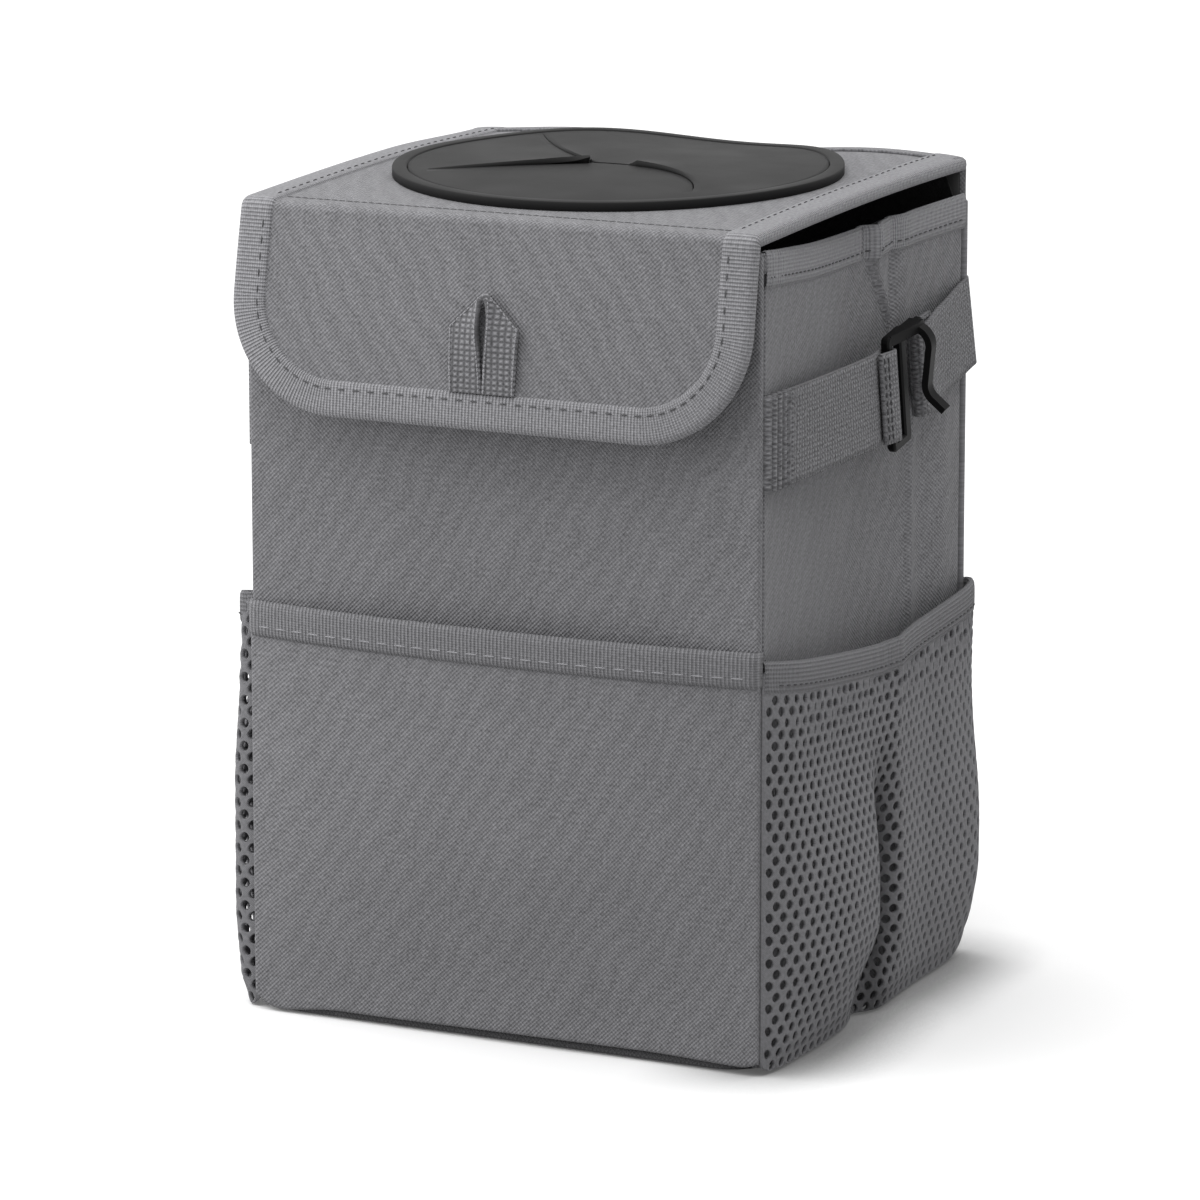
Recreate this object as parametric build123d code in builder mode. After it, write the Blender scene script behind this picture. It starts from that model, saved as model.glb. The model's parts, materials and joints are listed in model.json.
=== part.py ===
import os
from math import cos, radians, sin, tan

from build123d import *

# Car trash bin: a folding cloth box with a hinged lid, a closing flap and a slit rubber mouth.
# Millimetres. The origin is on the floor under the middle of the base, -Y is the front, +Z is up.

# Overall sizes
body_width = 178.0
body_depth = 164.0
lid_top = 265.0

# Sheet goods and fits
cloth = 0.8
stiffener = 1.6
lining = 0.6
tape = 0.7
webbing = 1.4
mesh_wall = 0.9
seam_gap = 0.3
sew_gap = 0.1

# Base tray and walls
base_rim = 3.0
base_roll = 2.0
front_drop = 1.6
board_margin = 3.0

# Side folds and the top edge between front, crease and rear
fold_depth = 7.0
rim_drop_front = 2.4
rim_drop_fold = 8.6
rim_drop_rear = 6.8
rim_tape_height = 11.5

# Front pocket
pocket_top = 135.0
pocket_bulge = 7.4
pocket_foot_bulge = 1.4
pocket_foot_height = 40.0
pocket_side_seam = 3.0
pocket_tape_height = 11.0

# Mesh side pockets
mesh_top_front = 131.0
mesh_top_middle = 122.5
mesh_top_rear = 127.0
mesh_stand = 9.5
mesh_valley_stand = 1.4
mesh_ridge_stand = 10.4
mesh_valley_y = 8.0
mesh_ridge_y = 22.0
mesh_shoulder = 7.0
mesh_seam = 2.0
mesh_hole_width = 9.0
mesh_hole_pitch = 14.6
mesh_hole_margin = 5.0
elastic_height = 10.5

# Hanging straps and hooks
strap_width = 30.0
strap_tilt = 10.0
strap_stand = 2.2
strap_corner = 8.0
strap_rear_gap = 4.6
strap_fold_length = 5.0
strap_settle = 42.0
hook_y = 20.0
hook_drop = 63.5
hook_thickness = 3.0
hook_bar = 3.0
hook_slot = 6.4
hook_spine = 4.6
hook_rail = 3.4
hook_corner = 2.2
hook_arm = 2.2
hook_post_y = 15.0
hook_edge = 0.6
hook_brow = 5.0
tongue_width = 4.0
tongue_thickness = 2.2
tongue_y = 9.0
tongue_bow = 11.2
tongue_bend = 6.0
tongue_pinch = 7.6
tongue_flare = 14.0
tongue_pinch_drop = 22.0
tongue_length = 28.0

# Lid and its mouth
lid_nose = 0.7
binding_width = 11.0
mouth_side_gap = 5.5
mouth_y = 3.0
mouth_rim_width = 4.0
mouth_rim_height = 3.0
mouth_edge = 0.6
leaf_thickness = 1.6
leaf_recess = 0.4
mouth_flange = 12.0
slit_count = 4
slit_width = 0.8
slit_outer_radius = 60.0
slit_inner_radius = 9.0
slit_start = 43.0
slit_half_turn = 11.0
slit_swirl = 48.0

# Flap, pull tab and touch fastener
flap_drop = 64.0
flap_corner = 36.0
flap_lean = 8.0
tab_leg = 12.0
tab_height = 29.5
tab_shoulder = 20.0
tab_point = 3.0
tab_slit = 2.3
patch_width = 60.0
patch_height = 20.0
patch_drop = 42.0
patch_thickness = 1.4

# Places that follow from the sizes above
half_width = body_width / 2
half_depth = body_depth / 2
lid_thickness = cloth + stiffener + lining
lid_roll = lid_thickness / 2
lid_under = lid_top - lid_thickness
lid_middle = lid_top - lid_roll
hinge_y = half_depth - lid_roll
lid_front = -half_depth - lid_nose
lid_width = body_width - 2 * tape
mouth_radius = half_width - binding_width - mouth_side_gap
hook_height = lid_top - hook_drop
front_top = lid_under - front_drop
rear_top = lid_under - seam_gap
board_foot = cloth + stiffener
tilt_cos = cos(radians(strap_tilt))
tilt_sin = sin(radians(strap_tilt))
tilt_tan = tan(radians(strap_tilt))

os.makedirs("parts", exist_ok=True)


def save(builder, name):
    builder.part.label = name
    export_step(builder.part, f"parts/{name}.step")


def save_pair(right, name):
    save(right, f"right_{name}")
    with BuildPart() as left:
        mirror(right.part, about=Plane.YZ)
    save(left, f"left_{name}")


def fold_x(y, inset):
    """X of the right side wall at depth y, folded inward along the crease at y = 0."""
    return half_width - inset - fold_depth * (1 - abs(y) / half_depth)


def fold_line(inset, end):
    return [(fold_x(y, inset), y) for y in (-end, 0, end)]


def fold_strip(outer, inner, end):
    """Plan outline of a strip along the folded side, between two insets from its outer face."""
    return fold_line(outer, end) + fold_line(inner, end)[::-1]


def rim_line(drop):
    """Top edge of the side wall in side view, lowered by a drop."""
    return [
        (-half_depth, lid_under - rim_drop_front - drop),
        (0, lid_under - rim_drop_fold - drop),
        (half_depth, lid_under - rim_drop_rear - drop),
    ]


# Base tray, a cloth floor with a rolled lower edge
with BuildPart() as base_panel:
    with BuildSketch():
        Rectangle(body_width, body_depth)
    extrude(amount=base_rim)
    fillet(base_panel.faces().sort_by(Axis.Z)[0].edges(), base_roll)
    with BuildSketch(Plane.XY.offset(cloth)):
        Rectangle(body_width - 2 * cloth, body_depth - 2 * cloth)
    extrude(amount=base_rim, mode=Mode.SUBTRACT)
save(base_panel, "base_panel")

with BuildPart() as base_board:
    with BuildSketch(Plane.XY.offset(cloth)):
        Rectangle(body_width - 2 * (cloth + seam_gap), body_depth - 2 * (cloth + seam_gap))
    extrude(amount=stiffener)
save(base_board, "base_board")

# Front and rear walls with their stiffeners
with BuildPart() as front_panel:
    with BuildSketch(Plane.XY.offset(base_rim)):
        with Locations((0, -half_depth)):
            Rectangle(body_width, cloth, align=(Align.CENTER, Align.MIN))
    extrude(amount=front_top - base_rim)
save(front_panel, "front_panel")

with BuildPart() as rear_panel:
    with BuildSketch(Plane.XY.offset(base_rim)):
        with Locations((0, half_depth)):
            Rectangle(body_width, cloth, align=(Align.CENTER, Align.MAX))
    extrude(amount=rear_top - base_rim)
save(rear_panel, "rear_panel")

board_width = body_width - 2 * board_margin

with BuildPart() as front_board:
    with BuildSketch(Plane.XY.offset(base_rim)):
        with Locations((0, cloth - half_depth)):
            Rectangle(board_width, stiffener, align=(Align.CENTER, Align.MIN))
    extrude(amount=front_top - base_rim - seam_gap)
save(front_board, "front_board")

with BuildPart() as rear_board:
    with BuildSketch(Plane.XY.offset(base_rim)):
        with Locations((0, half_depth - cloth)):
            Rectangle(board_width, stiffener, align=(Align.CENTER, Align.MAX))
    extrude(amount=rear_top - base_rim - seam_gap)
save(rear_board, "rear_board")

# Side gussets, creased inward and cut to the sagging top edge
gusset_end = half_depth - cloth

with BuildPart() as gusset:
    with BuildSketch(Plane.XY.offset(base_rim)):
        with BuildLine():
            Polyline(*fold_strip(0, cloth, gusset_end), close=True)
        make_face()
    extrude(amount=lid_under - base_rim)
    with BuildSketch(Plane.YZ):
        with BuildLine():
            Polyline((half_depth, 0), (-half_depth, 0), *rim_line(tape), close=True)
        make_face()
    extrude(amount=body_width, both=True, mode=Mode.INTERSECT)
save_pair(gusset, "gusset")

# Leakproof liner, an open bag that follows the boards and the folded sides
liner_end = half_depth - cloth - stiffener

with BuildPart() as liner:
    with BuildSketch(Plane.XY.offset(board_foot)):
        with BuildLine():
            side = fold_line(cloth, liner_end)
            other_side = [(-x, y) for x, y in side[::-1]]
            Polyline(*side, *other_side, close=True)
        make_face()
    extrude(amount=lid_under - board_foot)
    with BuildSketch(Plane.XY.offset(board_foot + lining)):
        with BuildLine():
            inner_side = fold_line(cloth + lining, liner_end - lining)
            other_inner = [(-x, y) for x, y in inner_side[::-1]]
            Polyline(*inner_side, *other_inner, close=True)
        make_face()
    extrude(amount=lid_under, mode=Mode.SUBTRACT)
    with BuildSketch(Plane.YZ):
        with BuildLine():
            Polyline((half_depth, 0), (-half_depth, 0), *rim_line(tape), close=True)
        make_face()
    extrude(amount=body_width, both=True, mode=Mode.INTERSECT)
save(liner, "liner")

# Ribbed tape folded over the gusset and liner along the top edge
rim_end = liner_end - lining - seam_gap

with BuildPart() as rim_binding:
    with BuildSketch(Plane.XY.offset(base_rim)):
        with BuildLine():
            Polyline(*fold_strip(-tape, cloth + lining + tape, rim_end), close=True)
        make_face()
    extrude(amount=lid_under - base_rim)
    with BuildSketch(Plane.YZ):
        with BuildLine():
            Polyline(*rim_line(0), *rim_line(rim_tape_height)[::-1], close=True)
        make_face()
    extrude(amount=body_width, both=True, mode=Mode.INTERSECT)
    add(gusset.part, mode=Mode.SUBTRACT)
    add(liner.part, mode=Mode.SUBTRACT)
save_pair(rim_binding, "rim_binding")


# Front pocket, sewn flat at the foot and sides and bulging at its mouth
def bow_outline(half_chord, bulge):
    """Flat-backed bow in front of the front wall, seen from above."""
    with BuildLine() as outline:
        chord = Line((-half_chord, -half_depth), (half_chord, -half_depth))
        ThreePointArc(chord @ 1, (0, -half_depth - bulge), chord @ 0)
    return outline.edges()


pocket_half = half_width - sew_gap
pocket_inner_half = pocket_half - pocket_side_seam

with BuildPart() as front_pocket:
    with BuildSketch(Plane.XY.offset(base_rim)):
        make_face(bow_outline(pocket_half, pocket_foot_bulge))
    with BuildSketch(Plane.XY.offset(pocket_foot_height)):
        make_face(bow_outline(pocket_half, pocket_bulge))
    loft(ruled=True)
    with BuildSketch(Plane.XY.offset(pocket_foot_height)):
        make_face(bow_outline(pocket_half, pocket_bulge))
    extrude(amount=pocket_top - tape - pocket_foot_height)
    with BuildSketch(Plane.XY.offset(base_rim + cloth)):
        make_face(bow_outline(pocket_inner_half, pocket_foot_bulge - cloth))
    with BuildSketch(Plane.XY.offset(pocket_foot_height)):
        make_face(bow_outline(pocket_inner_half, pocket_bulge - cloth))
    loft(ruled=True, mode=Mode.SUBTRACT)
    with BuildSketch(Plane.XY.offset(pocket_foot_height)):
        make_face(bow_outline(pocket_inner_half, pocket_bulge - cloth))
    extrude(amount=pocket_top, mode=Mode.SUBTRACT)
save(front_pocket, "front_pocket")

with BuildPart() as front_pocket_binding:
    with BuildSketch(Plane.XY.offset(pocket_top - pocket_tape_height)):
        make_face(bow_outline(pocket_half, pocket_bulge + tape))
        make_face(bow_outline(pocket_inner_half - tape, pocket_bulge - cloth - tape), mode=Mode.SUBTRACT)
    extrude(amount=pocket_tape_height)
    add(front_pocket.part, mode=Mode.SUBTRACT)
save(front_pocket_binding, "front_pocket_binding")

# Mesh side pockets: a folded, perforated wall on a narrow floor, sewn to the corner seams
mesh_end = half_depth - cloth
mesh_seam_stand = mesh_wall + tape + seam_gap


def mesh_line(shift):
    """Plan line of the mesh wall's outer face, moved outward by a shift."""
    stands = [
        (mesh_seam_stand, -mesh_end),
        (mesh_stand, mesh_shoulder - mesh_end),
        (mesh_valley_stand, mesh_valley_y),
        (mesh_ridge_stand, mesh_ridge_y),
        (mesh_stand, mesh_end - mesh_shoulder),
        (mesh_seam_stand, mesh_end),
    ]
    return [(half_width + stand + shift, y) for stand, y in stands]


def mouth_outline(top_drop, height):
    """Side view of a band between two drops below the sagging pocket mouth."""
    with BuildLine() as outline:
        mouth = ThreePointArc(
            (-half_depth, mesh_top_front - top_drop),
            (0, mesh_top_middle - top_drop),
            (half_depth, mesh_top_rear - top_drop),
        )
        foot = ThreePointArc(
            (-half_depth, mesh_top_front - height),
            (0, mesh_top_middle - height),
            (half_depth, mesh_top_rear - height),
        )
        Line(mouth @ 1, foot @ 1)
        Line(mouth @ 0, foot @ 0)
    return outline.edges()


mesh_clear_top = mesh_top_middle - elastic_height - mesh_hole_margin
mesh_clear_foot = base_rim + mesh_wall + mesh_hole_margin
mesh_middle = (mesh_clear_top + mesh_clear_foot) / 2
mesh_clear_height = mesh_clear_top - mesh_clear_foot - mesh_hole_width
mesh_clear_width = 2 * (mesh_end - mesh_seam - mesh_hole_margin) - mesh_hole_width
hole_columns = int(mesh_clear_width / (mesh_hole_pitch * cos(radians(30)))) + 1
hole_rows = int(mesh_clear_height / mesh_hole_pitch - 0.5) + 1

with BuildPart() as mesh_pocket:
    with BuildSketch(Plane.XY.offset(base_rim)):
        with BuildLine():
            Polyline(*mesh_line(0), *mesh_line(-mesh_wall)[::-1], close=True)
        make_face()
        for end in (-1, 1):
            with Locations((half_width, end * (mesh_end - mesh_seam / 2))):
                Rectangle(mesh_seam_stand, mesh_seam, align=(Align.MIN, Align.CENTER))
    extrude(amount=mesh_top_front - base_rim)
    with BuildSketch(Plane.XY.offset(base_rim)):
        with BuildLine():
            Polyline(*mesh_line(-mesh_wall / 2), *fold_line(0, mesh_end)[::-1], close=True)
        make_face()
    extrude(amount=mesh_wall)
    with BuildSketch(Plane.YZ):
        make_face(mouth_outline(tape, mesh_top_front - base_rim))
    extrude(amount=body_width, both=True, mode=Mode.INTERSECT)
    with BuildSketch(Plane.YZ.offset(half_width)):
        with Locations((0, mesh_middle)):
            with HexLocations(mesh_hole_pitch / 2, hole_columns, hole_rows):
                RegularPolygon(mesh_hole_width / 2, 4)
    extrude(amount=mesh_ridge_stand + mesh_wall, mode=Mode.SUBTRACT)
save_pair(mesh_pocket, "mesh_pocket")

with BuildPart() as pocket_elastic:
    with BuildSketch(Plane.XY.offset(base_rim)):
        with BuildLine():
            Polyline(*mesh_line(tape), *mesh_line(-mesh_wall - tape)[::-1], close=True)
        make_face()
    extrude(amount=mesh_top_front - base_rim)
    with BuildSketch(Plane.YZ):
        make_face(mouth_outline(0, elastic_height))
    extrude(amount=body_width, both=True, mode=Mode.INTERSECT)
    add(mesh_pocket.part, mode=Mode.SUBTRACT)
save_pair(pocket_elastic, "pocket_elastic")

# Plastic hooks: a webbing slot beside a broad spine, an arm to a post in the strap's eye, and a spring tongue
# that hangs from a brow over the slot
strap_along = (0, tilt_cos, tilt_sin)
strap_across = (0, -tilt_sin, tilt_cos)
hook_place = Vector(half_width + strap_stand, hook_y, hook_height)
hook_face = Plane(origin=hook_place, x_dir=strap_along, z_dir=(1, 0, 0))
loop_gap = seam_gap + webbing
slot_half = strap_width / 2 / tilt_cos + (hook_bar / 2 + loop_gap) * tilt_tan + seam_gap
hook_half = slot_half + hook_rail
hook_front = -hook_slot - hook_bar
hook_length = hook_spine - hook_front
arm_foot = strap_width / 2 + seam_gap
post_far = hook_post_y + hook_bar
tongue_far = tongue_y + tongue_width / 2
brow_face = Plane(origin=hook_face.from_local_coords((0, slot_half, 0)), x_dir=(1, 0, 0), z_dir=strap_across)
tongue_root = hook_face.from_local_coords((tongue_y, 0, 0))
tongue_face = Plane(origin=tongue_root, x_dir=(1, 0, 0), z_dir=-hook_face.x_dir)

with BuildPart() as hook:
    with BuildSketch(hook_face):
        with Locations((hook_front, 0)):
            RectangleRounded(hook_length, 2 * hook_half, hook_corner, align=(Align.MIN, Align.CENTER))
        with Locations((0, arm_foot)):
            Rectangle(post_far, hook_arm, align=(Align.MIN, Align.MIN))
        with Locations((hook_post_y, arm_foot + hook_arm)):
            Rectangle(hook_bar, hook_arm + 2 * arm_foot, align=(Align.MIN, Align.MAX))
        with Locations((-hook_slot, 0)):
            Rectangle(hook_slot, 2 * slot_half, align=(Align.MIN, Align.CENTER), mode=Mode.SUBTRACT)
    extrude(amount=hook_thickness / 2, both=True)
    chamfer(hook.faces().filter_by(Axis.X).edges(), hook_edge)
    with BuildSketch(brow_face):
        with BuildLine():
            Polyline(
                (0, hook_front + hook_corner),
                (hook_thickness / 2, hook_front + hook_corner),
                (hook_brow, tongue_y - tongue_width / 2),
                (hook_brow, tongue_far),
                (0, tongue_far),
                close=True,
            )
        make_face()
    extrude(amount=hook_rail)
    with BuildSketch(tongue_face):
        with BuildLine():
            top = slot_half + hook_rail / 2
            FilletPolyline(
                (0, top),
                (tongue_bow - strap_stand, top),
                (tongue_pinch - strap_stand, top - tongue_pinch_drop),
                (tongue_flare - strap_stand, top - tongue_length),
                radius=tongue_bend,
            )
        trace(line_width=tongue_thickness)
    extrude(amount=tongue_width / 2, both=True)
save_pair(hook, "hook")

# Front straps, sewn into the front seam and looped on the hook's front bar
front_bar = hook_front + hook_bar / 2
front_strap_foot = hook_height + front_bar * tilt_sin - strap_width / 2
front_loop_y = hook_y + front_bar * tilt_cos + strap_width / 2 * tilt_tan
strap_x = half_width + strap_stand
loop_width = hook_thickness + 2 * loop_gap
loop_length = hook_bar + 2 * loop_gap

with BuildPart() as front_strap:
    with BuildSketch(Plane.XY.offset(front_strap_foot)):
        with BuildLine():
            Polyline(
                (half_width + webbing / 2 + sew_gap, -half_depth),
                (strap_x, strap_settle - half_depth),
                (strap_x, front_loop_y),
            )
        trace(line_width=webbing)
        with Locations((strap_x + webbing / 2, front_loop_y - loop_length / 2)):
            Rectangle(webbing, strap_fold_length, align=(Align.MIN, Align.MAX))
        with Locations((strap_x, front_loop_y)):
            RectangleRounded(loop_width, loop_length, loop_gap)
            Rectangle(hook_thickness + 2 * seam_gap, hook_bar + 2 * seam_gap, mode=Mode.SUBTRACT)
    extrude(amount=strap_width / tilt_cos, dir=strap_across)
    split(bisect_by=Plane.XZ.offset(half_depth), keep=Keep.BOTTOM)
save_pair(front_strap, "front_strap")

# Hanging strap, from one hook's post round the rear wall to the other
strap_plane = Plane(origin=(0, hook_y, hook_height), x_dir=(1, 0, 0), z_dir=strap_across)
strap_lean = strap_width / 2 * tilt_sin
strap_rear = (half_depth + strap_rear_gap + strap_lean - hook_y) / tilt_cos + webbing / 2
post_middle = hook_post_y + hook_bar / 2

with BuildPart() as hanging_strap:
    with BuildSketch(strap_plane):
        with BuildLine():
            FilletPolyline(
                (strap_x, post_middle),
                (strap_x, strap_rear),
                (-strap_x, strap_rear),
                (-strap_x, post_middle),
                radius=strap_corner,
            )
        trace(line_width=webbing)
        with Locations((strap_x, post_middle), (-strap_x, post_middle)):
            RectangleRounded(loop_width, loop_length, loop_gap)
            Rectangle(hook_thickness + 2 * seam_gap, hook_bar + 2 * seam_gap, mode=Mode.SUBTRACT)
    extrude(amount=strap_width / 2, both=True)
save(hanging_strap, "hanging_strap")

# Lid: cloth top with a rolled rear edge as the hinge, a stiffener and a lining, all cut for the mouth
mouth_hole = mouth_radius - mouth_flange
lid_sheet_rear = hinge_y - lid_roll - seam_gap

with BuildPart() as lid_panel:
    with BuildSketch(Plane.YZ):
        with Locations((lid_front, lid_top)):
            Rectangle(hinge_y - lid_front, cloth, align=(Align.MIN, Align.MAX))
        with Locations((hinge_y, lid_middle)):
            Circle(lid_roll)
    extrude(amount=lid_width / 2, both=True)
    with BuildSketch(Plane.XY.offset(lid_under)):
        with Locations((0, mouth_y)):
            Circle(mouth_hole)
    extrude(amount=lid_thickness, mode=Mode.SUBTRACT)
save(lid_panel, "lid_panel")

lid_sheets = (
    ("lid_lining", lid_under, lining),
    ("lid_board", lid_under + lining, stiffener),
)

for name, foot, thickness in lid_sheets:
    with BuildPart() as lid_sheet:
        with BuildSketch(Plane.XY.offset(foot)):
            with Locations((0, lid_front)):
                Rectangle(lid_width, lid_sheet_rear - lid_front, align=(Align.CENTER, Align.MIN))
            with Locations((0, mouth_y)):
                Circle(mouth_hole, mode=Mode.SUBTRACT)
        extrude(amount=thickness)
    save(lid_sheet, name)

lid_binding_front = lid_front + tape + seam_gap

with BuildPart() as lid_binding:
    with BuildSketch(Plane.XZ.offset(-lid_binding_front)):
        with Locations((half_width, lid_middle)):
            Rectangle(binding_width, lid_thickness + 2 * tape, align=(Align.MAX, Align.CENTER))
        with Locations((half_width - tape, lid_middle)):
            Rectangle(binding_width, lid_thickness, align=(Align.MAX, Align.CENTER), mode=Mode.SUBTRACT)
    extrude(amount=lid_binding_front - lid_sheet_rear)
save_pair(lid_binding, "lid_binding")

# Rubber mouth: a moulded disc with a raised rim and curved slits between its leaves
mouth_top = lid_top + mouth_rim_height
leaf_top = mouth_top - leaf_recess
leaf_foot = leaf_top - leaf_thickness
rim_inside = mouth_radius - mouth_rim_width


def slit_point(radius, turn):
    angle = radians(slit_start + turn)
    return (radius * cos(angle), radius * sin(angle))


with BuildSketch(mode=Mode.PRIVATE) as slit:
    with BuildLine():
        ThreePointArc(
            slit_point(slit_outer_radius, 0),
            slit_point((slit_outer_radius + slit_inner_radius) / 2, slit_half_turn),
            slit_point(slit_inner_radius, slit_swirl),
        )
    trace(line_width=slit_width)

with BuildPart() as mouth:
    with BuildSketch(Plane.XZ.offset(-mouth_y)):
        with BuildLine():
            Polyline(
                (0, leaf_foot),
                (mouth_hole, leaf_foot),
                (mouth_hole, lid_top),
                (mouth_radius, lid_top),
                (mouth_radius, mouth_top - mouth_edge),
                (mouth_radius - mouth_edge, mouth_top),
                (rim_inside, mouth_top),
                (rim_inside, leaf_top),
                (0, leaf_top),
                close=True,
            )
        make_face()
    revolve(axis=Axis((0, mouth_y, 0), (0, 0, 1)))
    with BuildSketch(Plane.XY.offset(leaf_foot)):
        with Locations((0, mouth_y)):
            with PolarLocations(0, slit_count):
                add(slit.sketch)
    extrude(amount=leaf_thickness, mode=Mode.SUBTRACT)
save(mouth, "mouth")

# Flap, hung from the rolled crease in front of the lid and leaning off the front wall
flap_axis_y = lid_front - seam_gap - lid_roll
flap_plane = Plane(
    origin=(0, flap_axis_y, lid_middle),
    x_dir=(1, 0, 0),
    z_dir=(0, -cos(radians(flap_lean)), sin(radians(flap_lean))),
)
flap_sheet_top = -lid_roll - seam_gap


def flap_outline(margin, top):
    """Flap seen from the front, grown by a margin, with its two lower corners rounded."""
    height = flap_drop - tape + top + margin
    with BuildSketch() as outline:
        with Locations((0, top)):
            Rectangle(lid_width + 2 * margin, height, align=(Align.CENTER, Align.MAX))
        fillet(outline.vertices().group_by(Axis.Y)[0], flap_corner - tape + margin)
    return outline.sketch


with BuildPart() as flap_panel:
    with BuildSketch(flap_plane.offset(lid_roll - cloth)):
        add(flap_outline(0, 0))
    extrude(amount=cloth)
    with BuildSketch(Plane.YZ):
        with Locations((flap_axis_y, lid_middle)):
            Circle(lid_roll)
    extrude(amount=lid_width / 2, both=True)
save(flap_panel, "flap_panel")

flap_sheets = (
    ("flap_lining", -lid_roll, lining),
    ("flap_board", lining - lid_roll, stiffener),
)

for name, foot, thickness in flap_sheets:
    with BuildPart() as flap_sheet:
        with BuildSketch(flap_plane.offset(foot)):
            add(flap_outline(0, flap_sheet_top))
        extrude(amount=thickness)
    save(flap_sheet, name)

with BuildPart() as flap_binding:
    with BuildSketch(flap_plane.offset(-lid_roll - tape)):
        add(flap_outline(tape, flap_sheet_top))
        add(flap_outline(tape - binding_width, flap_sheet_top), mode=Mode.SUBTRACT)
    extrude(amount=lid_thickness + 2 * tape)
    with BuildSketch(flap_plane.offset(-lid_roll)):
        add(flap_outline(0, 0))
    extrude(amount=lid_thickness, mode=Mode.SUBTRACT)
save(flap_binding, "flap_binding")

# Pull tab, a tape loop pressed flat with its two legs side by side and a mitred point
tab_foot = binding_width - flap_drop
tab_top = tab_foot + tab_height

with BuildPart() as pull_tab:
    with BuildSketch(flap_plane.offset(lid_roll)):
        with BuildLine():
            Polyline(
                (-tab_leg, tab_foot),
                (tab_leg, tab_foot),
                (tab_leg + tab_slit / 2, tab_foot + tab_shoulder),
                (tab_point, tab_top),
                (-tab_point, tab_top),
                (-tab_leg - tab_slit / 2, tab_foot + tab_shoulder),
                close=True,
            )
        make_face()
        with BuildLine():
            slit_foot = (0, tab_foot + tab_slit)
            slit_head = (0, tab_top - webbing - tab_slit)
            slit_middle = tab_foot + tab_shoulder - tab_slit
            ThreePointArc(slit_foot, (tab_slit / 2, slit_middle), slit_head)
            ThreePointArc(slit_foot, (-tab_slit / 2, slit_middle), slit_head)
        make_face(mode=Mode.SUBTRACT)
    extrude(amount=webbing)
save(pull_tab, "pull_tab")

# Touch fastener halves behind the flap
with BuildPart() as hook_patch:
    with BuildSketch(flap_plane.offset(-lid_roll)):
        with Locations((0, -patch_drop)):
            Rectangle(patch_width, patch_height)
    extrude(amount=-patch_thickness)
save(hook_patch, "hook_patch")

with BuildPart() as loop_patch:
    with BuildSketch(Plane.XZ.offset(half_depth)):
        with Locations((0, lid_middle - patch_drop)):
            Rectangle(patch_width, patch_height)
    extrude(amount=patch_thickness)
save(loop_patch, "loop_patch")
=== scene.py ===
import json
from math import cos, exp, pi, radians, sin, tan

import bmesh
import bpy
from mathutils import Matrix, Vector, noise


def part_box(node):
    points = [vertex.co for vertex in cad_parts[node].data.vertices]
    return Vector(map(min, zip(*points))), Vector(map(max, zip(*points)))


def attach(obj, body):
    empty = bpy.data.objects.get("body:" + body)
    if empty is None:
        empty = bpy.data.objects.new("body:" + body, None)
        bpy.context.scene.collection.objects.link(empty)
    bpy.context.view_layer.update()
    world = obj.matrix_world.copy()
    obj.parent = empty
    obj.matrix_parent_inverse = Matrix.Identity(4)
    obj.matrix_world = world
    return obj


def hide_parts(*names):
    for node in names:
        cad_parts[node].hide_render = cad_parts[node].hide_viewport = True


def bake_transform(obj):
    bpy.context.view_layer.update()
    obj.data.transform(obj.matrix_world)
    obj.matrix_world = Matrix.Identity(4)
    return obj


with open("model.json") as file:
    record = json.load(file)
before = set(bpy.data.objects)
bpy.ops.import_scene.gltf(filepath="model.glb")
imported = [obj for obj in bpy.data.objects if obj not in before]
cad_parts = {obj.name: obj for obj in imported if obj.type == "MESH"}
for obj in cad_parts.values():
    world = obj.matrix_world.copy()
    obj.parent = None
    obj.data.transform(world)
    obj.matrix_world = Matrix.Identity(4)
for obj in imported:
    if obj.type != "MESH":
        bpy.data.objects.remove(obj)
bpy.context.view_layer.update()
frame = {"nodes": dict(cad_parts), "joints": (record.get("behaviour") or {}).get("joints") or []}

mm = 0.001  # every size below is in millimetres


# Small helpers

def at(x, y, z):
    return Vector((x, y, z)) * mm


def lerp(a, b, share):
    return a + (b - a) * share


def spread(half, share):  # from one side to the other
    return lerp(-half, half, share)


def clamp(value, low=0.0, high=1.0):
    return min(max(value, low), high)


def ease(low, high, value):
    t = clamp((value - low) / (high - low))
    return t * t * (3 - 2 * t)


def bump(value, centre, width):
    return exp(-((value - centre) / width) ** 2)


def folds(value, rows):  # each row is a fold's height, place and width
    return sum(height * bump(value, place, width) for height, place, width in rows)


def ripple(a, b, seed, apart=7.3):  # slow unevenness of cloth, about -1 to 1
    return noise.noise(Vector((a, b, seed * apart)))


def nodeBox(node):
    low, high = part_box(node)
    return low / mm, high / mm


def walker(points, rounds=3):  # corners cut until the line runs smooth, then walked by share of length
    line = [Vector(p) for p in points]
    for _ in range(rounds):
        cut = [line[0]]
        for a, b in zip(line, line[1:]):
            cut += [a.lerp(b, 0.25), a.lerp(b, 0.75)]
        line = cut + [line[-1]]
    marks = [0.0]
    for a, b in zip(line, line[1:]):
        marks.append(marks[-1] + (b - a).length)

    def walk(share):
        goal = clamp(share) * marks[-1]
        for i in range(1, len(marks)):
            if goal <= marks[i]:
                break
        step = marks[i] - marks[i - 1]
        return line[i - 1].lerp(line[i], (goal - marks[i - 1]) / step if step else 0.0)

    walk.length = marks[-1]
    return walk


def putObject(name, data):
    made = bpy.data.objects.new(name, data)
    bpy.context.scene.collection.objects.link(made)
    return made


# Materials

def newFinish(name):
    made = bpy.data.materials.new(name)
    made.use_nodes = True
    return made, made.node_tree, made.node_tree.nodes["Principled BSDF"]


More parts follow.
